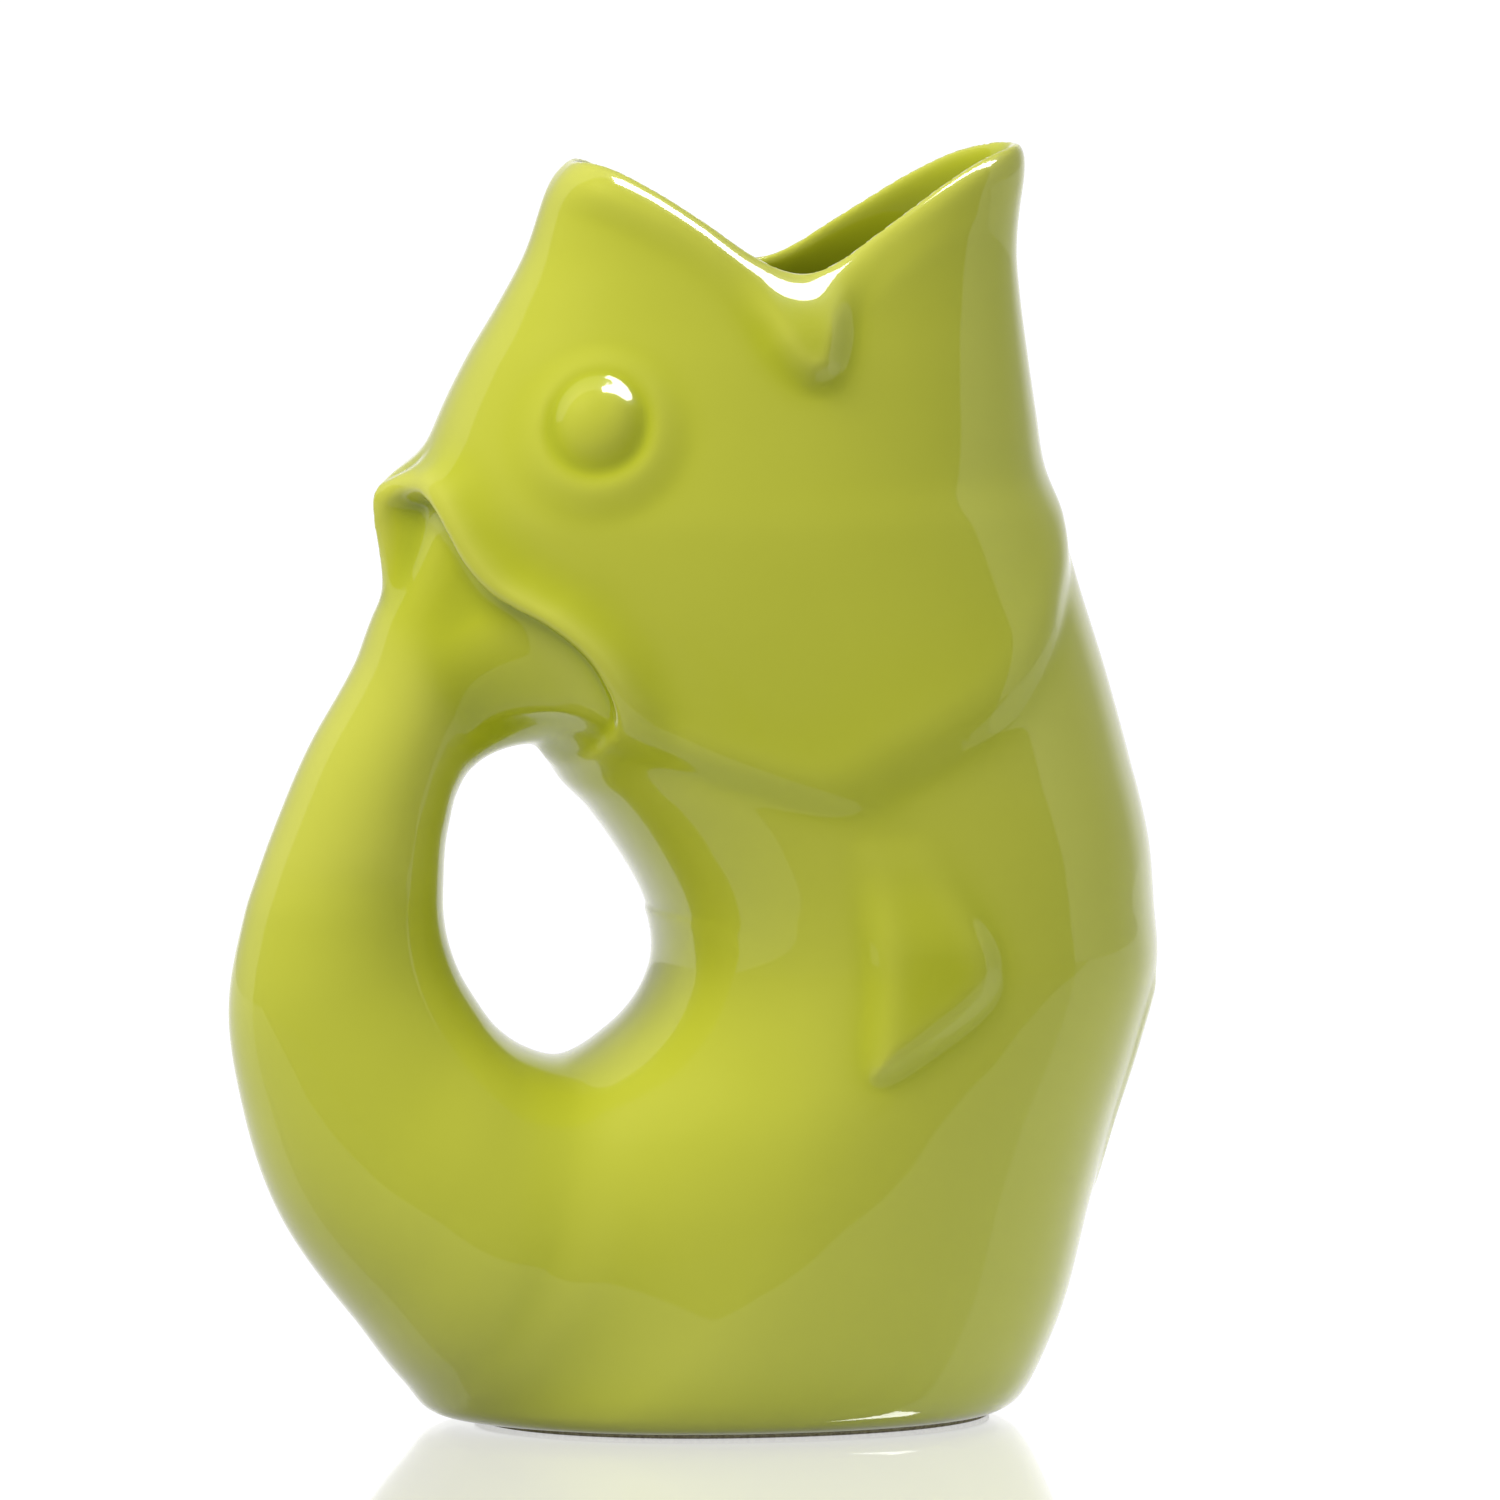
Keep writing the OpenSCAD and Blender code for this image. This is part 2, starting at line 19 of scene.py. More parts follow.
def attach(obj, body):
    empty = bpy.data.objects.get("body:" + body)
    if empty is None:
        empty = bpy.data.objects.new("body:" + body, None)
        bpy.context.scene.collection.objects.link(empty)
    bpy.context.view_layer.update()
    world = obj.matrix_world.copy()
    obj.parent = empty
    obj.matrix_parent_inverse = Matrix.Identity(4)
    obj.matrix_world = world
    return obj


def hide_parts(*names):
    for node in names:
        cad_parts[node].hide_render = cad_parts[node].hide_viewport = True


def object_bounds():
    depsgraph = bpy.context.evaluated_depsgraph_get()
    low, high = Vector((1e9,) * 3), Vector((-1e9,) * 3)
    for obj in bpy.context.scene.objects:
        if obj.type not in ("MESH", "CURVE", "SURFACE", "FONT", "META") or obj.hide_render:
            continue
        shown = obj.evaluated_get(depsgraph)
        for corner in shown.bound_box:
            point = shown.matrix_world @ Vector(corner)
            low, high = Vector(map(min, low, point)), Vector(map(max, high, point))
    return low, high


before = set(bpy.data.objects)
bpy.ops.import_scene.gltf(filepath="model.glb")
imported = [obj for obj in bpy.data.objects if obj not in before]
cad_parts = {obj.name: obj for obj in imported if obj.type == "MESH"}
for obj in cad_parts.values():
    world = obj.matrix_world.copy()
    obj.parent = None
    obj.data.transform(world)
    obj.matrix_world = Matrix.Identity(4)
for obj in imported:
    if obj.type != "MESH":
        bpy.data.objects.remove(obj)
cad_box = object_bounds()

log = logging.getLogger("jug")
Array = np.ndarray
Rows = tuple[tuple[float, ...], ...]
Triple = tuple[float, float, float]
Pair = tuple[float, float]

MM = 0.001
NARROW = 1e-6  # keeps a division away from zero
NO_FILLET = 0.01  # reach of a fillet where there is none, in millimetres


class Curve:
    """Smooth curve through one column of a table of knots."""

    SAMPLES = 4001

    def __init__(self, rows: Rows, column: int, unit: float = 1.0, scale: float = 1.0) -> None:
        """Tabulates the cubic between the knots finely, so that whole arrays read it fast.

        Args:
            rows: Knots, with the place in the first column.
            column: Column that holds the value.
            unit: What the places are multiplied by.
            scale: What the values are multiplied by.
        """
        place = np.array([row[0] for row in rows], float)
        value = np.array([row[column] for row in rows], float)
        low = np.maximum(np.arange(len(place)) - 1, 0)
        high = np.minimum(np.arange(len(place)) + 1, len(place) - 1)
        slope = (value[high] - value[low]) / (place[high] - place[low])
        at = np.linspace(place[0], place[-1], self.SAMPLES)
        i = np.clip(np.searchsorted(place, at, side="right") - 1, 0, len(place) - 2)
        width = place[i + 1] - place[i]
        u = (at - place[i]) / width
        shape = ((1 + 2 * u) * (1 - u) ** 2 * value[i] + u * (1 - u) ** 2 * width * slope[i]
                 + u * u * (3 - 2 * u) * value[i + 1] + u * u * (u - 1) * width * slope[i + 1])
        self.at = at * unit
        self.shape = shape * scale
        self.steepness = np.gradient(self.shape, self.at)

    def __call__(self, place: Array) -> Array:
        """Value at each place, held at the ends."""
        return np.interp(place, self.at, self.shape)

    def slope(self, place: Array) -> Array:
        """Rate of change at each place."""
        return np.interp(place, self.at, self.steepness)


def smooth_min(a: Array, b: Array, k: float | Array) -> Array:
    """Union of two fields with a fillet that reaches k."""
    h = np.maximum(k - np.abs(a - b), 0)
    return np.minimum(a, b) - h * h / (4 * k)


def smooth_max(a: Array, b: Array, k: float | Array) -> Array:
    """Intersection of two fields with an edge that is rounded over k."""
    return -smooth_min(-a, -b, k)


def smooth_step(low: float, high: float, value: Array) -> Array:
    """0 below low, 1 above high and a smooth rise between them. low may be the larger one."""
    t = np.clip((value - low) / (high - low), 0, 1)
    return t * t * (3 - 2 * t)


def along(offset: list[Array], axis: Array) -> Array:
    """How far offsets along X, Y and Z reach along an axis."""
    return sum(o * a for o, a in zip(offset, axis))


def inset_of(u: Array, v: Array, polygon: Array) -> Array:
    """Distance inside a closed polygon for points of a plane, negative outside."""
    best = np.full(u.shape, np.inf)
    inside = np.zeros(u.shape, bool)
    for (ax, ay), (bx, by) in zip(polygon, np.roll(polygon, -1, 0)):
        dx, dy = bx - ax, by - ay
        t = np.clip(((u - ax) * dx + (v - ay) * dy) / max(dx * dx + dy * dy, NARROW), 0, 1)
        best = np.minimum(best, (u - ax - t * dx) ** 2 + (v - ay - t * dy) ** 2)
        if dy:
            inside ^= ((ay > v) != (by > v)) & (u < (v - ay) * dx / dy + ax)
    return np.where(inside, 1, -1) * np.sqrt(best)


def placed(name: str, data: bpy.types.ID) -> bpy.types.Object:
    """Puts new data into the scene as an object."""
    made = bpy.data.objects.new(name, data)
    bpy.context.scene.collection.objects.link(made)
    return made


def flatten(piece: bpy.types.Object) -> None:
    """Turns what an object's modifiers make of it into its own plain mesh."""
    before = piece.data
    evaluated = piece.evaluated_get(bpy.context.evaluated_depsgraph_get())
    after = bpy.data.meshes.new_from_object(evaluated)
    piece.modifiers.clear()
    piece.data = after
    bpy.data.meshes.remove(before)


def wire(tree: bpy.types.NodeTree, target: bpy.types.Node, inputs: dict) -> None:
    """Fills a node's inputs.

    Args:
        tree: The node's tree.
        target: The node.
        inputs: For each input, by name or number, its value or the output that feeds it.
    """
    for key, value in inputs.items():
        if isinstance(value, bpy.types.NodeSocket):
            tree.links.new(value, target.inputs[key])
        else:
            target.inputs[key].default_value = value


def node(tree: bpy.types.NodeTree, kind: str, inputs: dict, operation: str = "") -> bpy.types.Node:
    """Adds a node.

    Args:
        tree: The tree that gets it.
        kind: Its type.
        inputs: What fills its inputs, as for wire.
        operation: What it works out, for a math node.

    Returns:
        The node.
    """
    made = tree.nodes.new(kind)
    if operation:
        made.operation = operation
    wire(tree, made, inputs)
    return made


def ramp(tree: bpy.types.NodeTree, feed: bpy.types.NodeSocket, places: tuple[float, ...],
         colours: tuple[Triple, ...]) -> bpy.types.NodeSocket:
    """Adds a colour ramp with a colour at each place, and gives its colour output."""
    made = node(tree, "ShaderNodeValToRGB", {"Fac": feed})
    stops = made.color_ramp.elements
    while len(stops) < len(places):
        stops.new(0.5)
    for stop, place, colour in zip(stops, places, colours):
        stop.position = place
        stop.color = (*colour, 1)
    return made.outputs["Color"]


def shader_tree(name: str) -> tuple[bpy.types.Material, bpy.types.NodeTree]:
    """New material and its node tree."""
    made = bpy.data.materials.new(name)
    made.use_nodes = True
    return made, made.node_tree


@dataclass
class Grid:
    """Grid of points over one half of the jug, in millimetres; y starts just past the plane of symmetry."""

    cell: float
    low: tuple[float, float, float]
    high: tuple[float, float, float]
    x: Array = field(init=False)
    y: Array = field(init=False)
    z: Array = field(init=False)

    def __post_init__(self) -> None:
        """Lays out the three axes so that they broadcast against each other."""
        axes = [np.arange(math.floor(a / self.cell), math.ceil(b / self.cell) + 1) * self.cell
                for a, b in zip(self.low, self.high)]
        self.x = axes[0].reshape(-1, 1, 1)
        self.y = axes[1].reshape(1, -1, 1)
        self.z = axes[2].reshape(1, 1, -1)

    def near(self, centre: Array, radius: float) -> tuple[slice, slice, slice]:
        """Part of the grid within some radius of a point.

        Args:
            centre: The point.
            radius: Half of the part's side.

        Returns:
            A slice for each axis.
        """
        return tuple(slice(*np.clip(np.searchsorted(axis.ravel(), [c - radius, c + radius]), 0, axis.size))
                     for axis, c in zip((self.x, self.y, self.z), centre))

    def cut(self, part: tuple[slice, slice, slice]) -> tuple[Array, Array, Array]:
        """The three axes over one part of the grid."""
        return self.x[part[0]], self.y[:, part[1]], self.z[:, :, part[2]]


@dataclass
class BodyForm:
    """Upright body: a superellipse at every height."""

    height: float = 277.0
    reach: float = 100.0
    girth: float = 56.0
    power: float = 2.15
    outline: Rows = (
        (0.000, -0.520, 0.670, 0.830), (0.030, -0.510, 0.728, 0.895), (0.090, -0.470, 0.798, 0.945),
        (0.165, -0.380, 0.850, 0.975), (0.225, -0.270, 0.896, 0.990), (0.290, -0.130, 0.954, 1.000),
        (0.350, -0.072, 0.996, 1.000), (0.400, -0.098, 0.990, 0.990), (0.450, -0.177, 0.979, 0.975),
        (0.510, -0.305, 0.941, 0.950), (0.580, -0.435, 0.888, 0.920), (0.640, -0.530, 0.836, 0.880),
        (0.700, -0.592, 0.786, 0.820), (0.735, -0.592, 0.746, 0.765), (0.780, -0.548, 0.729, 0.690),
        (0.825, -0.487, 0.712, 0.615), (0.865, -0.421, 0.698, 0.545), (0.905, -0.362, 0.690, 0.490),
        (0.945, -0.324, 0.700, 0.455), (0.985, -0.288, 0.724, 0.430), (1.020, -0.260, 0.745, 0.420),
    )

    def __post_init__(self) -> None:
        """Turns the outline's columns into curves over the height."""
        middle = tuple((row[0], (row[1] + row[2]) / 2, (row[2] - row[1]) / 2, row[3]) for row in self.outline)
        self.centre = Curve(middle, 1, self.height, self.reach)
        self.half_length = Curve(middle, 2, self.height, self.reach)
        self.half_width = Curve(middle, 3, self.height, self.girth)

    def gap(self, x: Array, y: Array, z: Array) -> Array:
        """Distance outside the body's plain skin, negative inside."""
        length, width = self.half_length(z), self.half_width(z)
        u, v = (x - self.centre(z)) / length, y / width
        n = np.maximum((np.abs(u) ** self.power + np.abs(v) ** self.power) ** (1 / self.power), NARROW)
        du = (np.abs(u) / n) ** (self.power - 1) * np.sign(u) / length
        dv = (np.abs(v) / n) ** (self.power - 1) * np.sign(v) / width
        dz = -du * (self.centre.slope(z) + u * self.half_length.slope(z)) - dv * v * self.half_width.slope(z)
        return (n - 1) / np.maximum(np.sqrt(du * du + dv * dv + dz * dz), NARROW)

    def angle(self, x: Array, y: Array, z: Array) -> Array:
        """Angle round the body from the front, 0 to 180 degrees on either side."""
        ahead = (x - self.centre(z)) / self.half_length(z)
        return np.degrees(np.arctan2(np.abs(y) / self.half_width(z), ahead))

    def turned(self, angle: Array) -> tuple[Array, Array, Array]:
        """Reach of the unit superellipse at angles in degrees, with their cosines and sines."""
        c, s = np.cos(np.radians(angle)), np.sin(np.radians(angle))
        return (np.abs(c) ** self.power + np.abs(s) ** self.power) ** (-1 / self.power), c, s

    def point(self, angle: Array, share: Array) -> Array:
        """Points of the plain skin.

        Args:
            angle: Angle from the front in degrees.
            share: Height as a share of the jug's.

        Returns:
            The points, one a row.
        """
        z = np.asarray(share, float) * self.height
        k, c, s = self.turned(angle)
        return np.stack([self.centre(z) + self.half_length(z) * k * c, self.half_width(z) * k * s, z], -1)

    def normal(self, angle: Array, share: Array) -> Array:
        """Outward normals of the plain skin at the same places."""
        step, lift = 1.0, 0.01
        along = self.point(np.add(angle, step), share) - self.point(np.subtract(angle, step), share)
        up = self.point(angle, np.add(share, lift)) - self.point(angle, np.subtract(share, lift))
        n = np.cross(along, up)
        return n / np.linalg.norm(n, axis=-1, keepdims=True)


@dataclass
class TailForm:
    """Tail that curls round the finger hole as the handle. Turns go round the hole, from the front."""

    hole_x: float = -32.5
    hole_z: float = 110.0
    hole_radius: float = 23.5
    reach: float = 100.0
    half_width: float = 21.5
    root_turn: float = 259.0
    tip_turn: float = 119.0
    tip_overlap: float = 2.0
    outline: Rows = (
        (105, 1.53, 0.878, 0.84), (119, 1.50, 0.758, 0.84), (128, 1.40, 0.680, 0.86),
        (140, 1.23, 0.640, 0.90), (160, 1.05, 0.621, 0.97), (180, 1.00, 0.656, 1.00),
        (197, 0.99, 0.722, 1.10), (212, 1.01, 0.779, 1.24), (228, 1.06, 0.868, 1.43),
        (244, 1.17, 0.966, 1.68), (259, 1.27, 1.104, 1.86), (275, 1.35, 1.070, 1.93),
        (300, 1.34, 0.940, 1.86), (335, 1.45, 0.700, 1.40),
    )

    def __post_init__(self) -> None:
        """Turns the outline's columns into curves over the angle round the hole."""
        rows = tuple((f, (inner * self.hole_radius + outer * self.reach) / 2,
                      (outer * self.reach - inner * self.hole_radius) / 2, wide * self.half_width)
                     for f, inner, outer, wide in self.outline)
        self.radius = Curve(rows, 1)
        self.half_depth = Curve(rows, 2)
        self.width = Curve(rows, 3)
        self.span = (rows[0][0], rows[-1][0])

    def polar(self, x: Array, z: Array) -> tuple[Array, Array]:
        """Distance from the hole's centre and angle round it in degrees, 0 to 360."""
        dx, dz = x - self.hole_x, z - self.hole_z
        return np.hypot(dx, dz), np.degrees(np.arctan2(dz, dx)) % 360

    def gap(self, x: Array, y: Array, z: Array) -> Array:
        """Distance outside the tail's plain skin, negative inside."""
        rho, f = self.polar(x, z)
        past = np.maximum(self.tip_turn - self.tip_overlap - f, f - self.span[1])
        f = np.clip(f, *self.span)
        depth, width = self.half_depth(f), self.width(f)
        u, v = (rho - self.radius(f)) / depth, y / width
        n = np.maximum(np.hypot(u, v), NARROW)
        du, dv = u / n / depth, v / n / width
        turn = -(du * (self.radius.slope(f) + u * self.half_depth.slope(f)) + dv * v * self.width.slope(f))
        turn = np.degrees(turn) / np.maximum(rho, self.hole_radius)
        gap = (n - 1) / np.maximum(np.sqrt(du * du + dv * dv + turn * turn), NARROW)
        off_end = rho * np.sin(np.radians(np.clip(past, 0, 90)))
        return np.maximum(gap, np.where(past > 0, off_end, -self.reach))

    def ring(self, f: float, psi: Array) -> Array:
        """Points of the tail's section at angle f round the hole, at the turns psi round the tail."""
        depth, width = self.half_depth(f), self.width(f)
        q = 1 / np.hypot(np.cos(psi) / depth, np.sin(psi) / width)
        rho = self.radius(f) - q * np.cos(psi)
        f = math.radians(f)
        x, z = self.hole_x + rho * math.cos(f), self.hole_z + rho * math.sin(f)
        return np.stack([x, q * np.sin(psi), z], -1)

    def seat_side(self, x: Array, z: Array) -> Array:
        """Distance past the plane through the hole's centre and the tail's root, positive in the tail."""
        f = math.radians(self.root_turn)
        return (x - self.hole_x) * math.sin(f) - (z - self.hole_z) * math.cos(f)


@dataclass
class Pad:
    """Fin or boss that is laid on the body, with an outline in angles and shares of the height."""

    outline: Rows
    rise: float
    edge: float
    fillet: float
    fade: Pair = (2.0, 1.9)

    POINTS = 96
    MARGIN = 9.0

    def polygon(self, body: BodyForm) -> tuple[Array, Array, Array, Array]:
        """Closed smooth outline in a plane that touches the body under the pad's middle.

        Args:
            body: The body that carries the pad.

        Returns:
            The outline's points in the plane, the plane's origin, its two axes as rows, and its normal.
        """
        knots = np.array(self.outline, float)
        count = len(knots)
        u = np.arange(self.POINTS) * count / self.POINTS
        i, v = u.astype(int), (u % 1).reshape(-1, 1)
        p0, p1, p2, p3 = (knots[(i + k) % count] for k in (-1, 0, 1, 2))
        around = (2 * p1 + (p2 - p0) * v + (2 * p0 - 5 * p1 + 4 * p2 - p3) * v ** 2
                  + (3 * p1 - p0 - 3 * p2 + p3) * v ** 3) / 2
        middle = knots.mean(0)
        origin, normal = body.point(*middle), body.normal(*middle)
        across = np.cross((0, 0, 1), normal)
        across /= np.linalg.norm(across)
        axes = np.stack([across, np.cross(normal, across)])
        return (body.point(around[:, 0], around[:, 1]) - origin) @ axes.T, origin, axes, normal

    def lay(self, skin: Array, carrier: Array, grid: Grid, body: BodyForm) -> None:
        """Lays the pad on the skin.

        Args:
            skin: Field of the whole surface, changed in place.
            carrier: Field of the surface that the pad follows.
            grid: Grid of both fields.
            body: The body that carries the pad.
        """
        polygon, origin, axes, normal = self.polygon(body)
        part = grid.near(origin, np.abs(polygon).max() + self.MARGIN)
        x, y, z = grid.cut(part)
        offset = [axis - o for axis, o in zip((x, y, z), origin)]
        away, u, v = along(offset, normal), along(offset, axes[0]), along(offset, axes[1])
        reach = np.abs(polygon).max(0) + self.MARGIN
        close = ((np.abs(carrier[part]) < self.MARGIN + self.rise) & (np.abs(u) < reach[0])
                 & (np.abs(v) < reach[1]) & (away > -body.girth / 2))
        inset = inset_of(u[close], v[close], polygon)
        share = np.broadcast_to(z / body.height, close.shape)[close]
        pad = smooth_max(carrier[part][close] - self.rise * smooth_step(*self.fade, share), -inset, self.edge)
        block = skin[part]
        block[close] = smooth_min(block[close], pad, self.fillet)


@dataclass
class Eye:
    """Domed eye on a low soft swelling that hangs at its lower end."""

    angle: float = 124.5
    share: float = 0.782
    radius: float = 9.2
    tallness: float = 1.12
    rise: float = 6.2
    fillet: float = 1.6
    swelling_radius: float = 16.5
    swelling_slope: float = 4.4
    swelling_rise: float = 2.6
    sag: float = 2.2
    moat_radius: float = 10.4
    moat_width: float = 1.7
    moat_depth: float = 0.6
    moat_sag: float = 0.08

    def around(self, x: Array, y: Array, z: Array, body: BodyForm) -> tuple[Array, Array, Array]:
        """Place of points relative to the eye.

        Args:
            x: Places along X.
            y: Places along Y.
            z: Heights.
            body: The body that carries the eye.

        Returns:
            Distance from the eye's axis, slope towards its lower end from -1 to 1, and height over its base.
        """
        origin, normal = body.point(self.angle, self.share), body.normal(self.angle, self.share)
        offset = [axis - o for axis, o in zip((x, y, z), origin)]
        away = along(offset, normal)
        across = np.sqrt(np.maximum(sum(o * o for o in offset) - away * away, 0))
        return across, np.clip(-offset[2] / np.maximum(across, NARROW), -1, 1), away

    def stand(self, x: Array, y: Array, z: Array, body: BodyForm) -> Array:
        """Height of the swelling and its moat over the plain skin."""
        across, low, away = self.around(x, y, z, body)
        ring = self.swelling_radius + self.sag * low
        slope = self.swelling_slope
        swell = self.swelling_rise * smooth_step(ring + slope, ring - slope, across)
        off_moat = (across / (1 + self.moat_sag * np.abs(low)) - self.moat_radius) / self.moat_width
        moat = self.moat_depth * np.exp(-off_moat ** 2)
        return (swell - moat) * (away > -self.swelling_radius)

    def lay(self, skin: Array, grid: Grid, body: BodyForm) -> None:
        """Lays the domed eye on the skin, changed in place."""
        origin = body.point(self.angle, self.share)
        part = grid.near(origin, self.radius * 2)
        across, low, away = self.around(*grid.cut(part), body)
        wide = self.radius * (1 + (self.tallness - 1) * low * low)
        n = np.maximum(np.hypot(across / wide, away / self.rise), NARROW)
        slope = np.hypot(across / wide ** 2, away / self.rise ** 2) / n
        skin[part] = smooth_min(skin[part], (n - 1) / np.maximum(slope, NARROW), self.fillet)


@dataclass
class TailFin:
    """Fin at the tail's end, flared like a trumpet up to a rolled edge that lies on the back of the head.

    Turns go round the tail, from its inner side at 0 to its outer side at 180. Each row of the edge holds
    a turn, the angle round the body, the height over the hole as a share of the reach, and the rise.
    """

    low: float = 0.7
    leave: float = 0.8
    leave_under: float = 1.0
    arrive: float = 0.75
    dip: float = 0.75
    bury: float = 10.0
    plunge: float = 4.0
    head_fillet: float = 9.0
    under_fillet: float = 12.0
    under_from: Pair = (142.0, 136.0)
    inner_fillet: float = 1.5
    crisp_from: Pair = (141.0, 148.0)
    crisp_band: Pair = (-1.5, 2.5)
    wide_rise: float = 6.0
    under_turn: Pair = (56.0, 34.0)
    under_draw: float = 0.1
    top_turn: Pair = (150.0, 174.0)
    least_ridge: float = 0.5
    centre: float = 0.59
    edge: Rows = (
        (0, 180, 0.305, -4.5), (15, 166, 0.322, -4.0), (28, 154, 0.354, -3.0), (38, 145, 0.388, -1.0),
        (48, 137.5, 0.425, 1.2), (58, 134, 0.474, 3.6), (68, 132.8, 0.528, 5.0), (78, 133.1, 0.577, 5.4),
        (88, 135, 0.619, 5.6), (98, 138.6, 0.660, 5.8), (108, 143.4, 0.692, 6.0), (118, 148.4, 0.729, 6.2),
        (128, 152, 0.783, 6.2), (136, 154.6, 0.838, 5.8), (143, 158.4, 0.884, 5.5), (150, 164.2, 0.910, 5.3),
        (156, 169.6, 0.911, 5.6), (163, 174, 0.905, 7.2), (170, 177, 0.893, 9.3), (180, 180, 0.881, 11.2),
    )
    inner_section: Rows = ((-4.2, 0), (-3.2, 0.12), (-2.4, 0.36), (-1.7, 0.66), (-1.0, 0.88), (-0.4, 0.98))
    outer_section: Rows = (
        (0.4, 1), (1.4, 0.96), (2.4, 0.86), (3.2, 0.70), (3.8, 0.45), (4.1, 0.2), (4.3, -0.2),
    )
    root_shares: tuple[float, ...] = (1.0, 0.8, 0.5, 0.2)

    TURNS = 240
    STEPS = 48
    PROBE = 0.1
    RIM_POINTS = 61
    RIM_MARGIN = 12.0

    @staticmethod
    def folded(psi: Array) -> Array:
        """Turns round the tail in degrees, the same on its two sides."""
        return np.degrees(np.where(psi > math.pi, 2 * math.pi - psi, psi))

    def edge_height(self, turn: Array) -> Array:
        """Height of the edge over the hole at some turns, as a share of the reach."""
        return Curve(self.edge, 2)(turn)

    def on_body(self, body: BodyForm, tail: TailForm, psi: Array, share: Array, lift: Array) -> Array:
        """Points over the body, some share of the way from the fin's middle to its edge.

        Args:
            body: The body that the fin lies on.
            tail: The tail that the fin ends.
            psi: Turns round the tail.
            share: Share of the way for each turn.
            lift: Height over the body for each turn.

        Returns:
            The points, one a row.
        """
        turn = self.folded(psi)
        angle = 180 - (180 - Curve(self.edge, 1)(turn)) * share
        height = tail.hole_z + (self.centre + (self.edge_height(turn) - self.centre) * share) * tail.reach
        out = body.point(angle, height / body.height)
        out = out + np.reshape(lift, (-1, 1)) * body.normal(angle, height / body.height)
        out[:, 1] *= np.where(psi > math.pi, -1, 1)
        return out

    def rings(self, body: BodyForm, tail: TailForm) -> list[Array]:
        """Rings of points from the tail's end over the flare and the ridge into the body."""
        psi = np.arange(self.TURNS) * 2 * math.pi / self.TURNS
        turn = self.folded(psi)
        rise = Curve(self.edge, 3)(turn)
        under = smooth_step(*self.under_turn, turn)
        floor = np.minimum(self.low, rise - self.least_ridge)
        floor = floor + (rise - floor) * smooth_step(*self.top_turn, turn)
        foot = tail.ring(tail.tip_turn, psi)
        edge = self.on_body(body, tail, psi, 1.0, rise)
        probe = self.on_body(body, tail, psi, 1 + self.PROBE, rise) - edge
        grow = self.PROBE / np.maximum(np.linalg.norm(probe, axis=1), NARROW)
        draw = grow * (1 - (1 - self.under_draw) * under)
        inner = 1 + draw * self.inner_section[0][0]
        land = self.on_body(body, tail, psi, inner, floor)
        past = self.on_body(body, tail, psi, inner + grow, floor) - land
        chord = land - foot
        way = np.linalg.norm(chord, axis=1, keepdims=True)
        leave = foot - tail.ring(tail.tip_turn + tail.tip_overlap, psi)
        strength = self.leave + (self.leave_under - self.leave) * under.reshape(-1, 1)
        leave *= way * strength / np.linalg.norm(leave, axis=1, keepdims=True)
        arrive = past / np.linalg.norm(past, axis=1, keepdims=True)
        arrive += (chord / way - (0, 0, self.dip) - arrive) * under.reshape(-1, 1)
        arrive *= way * self.arrive
        out = []
        for k in range(self.STEPS):
            u = k / self.STEPS
            out.append((1 + 2 * u) * (1 - u) ** 2 * foot + u * (1 - u) ** 2 * leave
                       + u * u * (3 - 2 * u) * land + u * u * (u - 1) * arrive)
        for step, share in self.inner_section:
            out.append(self.on_body(body, tail, psi, 1 + draw * step, floor + (rise - floor) * share))
        grow *= np.maximum(rise / self.wide_rise, 1)
        for step, share in self.outer_section:
            height = np.minimum(rise * share, rise - self.plunge * (1 - share))
            out.append(self.on_body(body, tail, psi, 1 + grow * step, height))
        for share in self.root_shares:
            out.append(self.on_body(body, tail, psi, share, np.full(self.TURNS, -self.bury)))
        return out

    def fillet(self, angle: Array, z: Array, tail: TailForm) -> Array:
        """Reach of the fillet against the body: wide outside the ridge and small inside it.

        Args:
            angle: Angles round the body.
            z: Heights.
            tail: The tail that the fin ends.

        Returns:
            The reach at every point.
        """
        turn = np.linspace(0, 180, self.RIM_POINTS)
        rim_z = tail.hole_z + self.edge_height(turn) * tail.reach
        rim = np.stack([180 - Curve(self.edge, 1)(turn), rim_z], 1)
        rim = np.concatenate([rim, rim[::-1] * (-1, 1)])
        u, v = np.broadcast_arrays(180 - angle, z)
        out = self.head_fillet + (self.under_fillet - self.head_fillet) * smooth_step(*self.under_from, v)
        near = u < rim[:, 0].max() + self.RIM_MARGIN
        near &= (v > rim_z.min() - self.RIM_MARGIN) & (v < rim_z.max() + self.RIM_MARGIN)
        inset = inset_of(u[near], v[near], rim)
        crisp = smooth_step(*self.crisp_band, inset) * smooth_step(*self.crisp_from, v[near])
        out[near] += (self.inner_fillet - self.head_fillet) * crisp
        return out

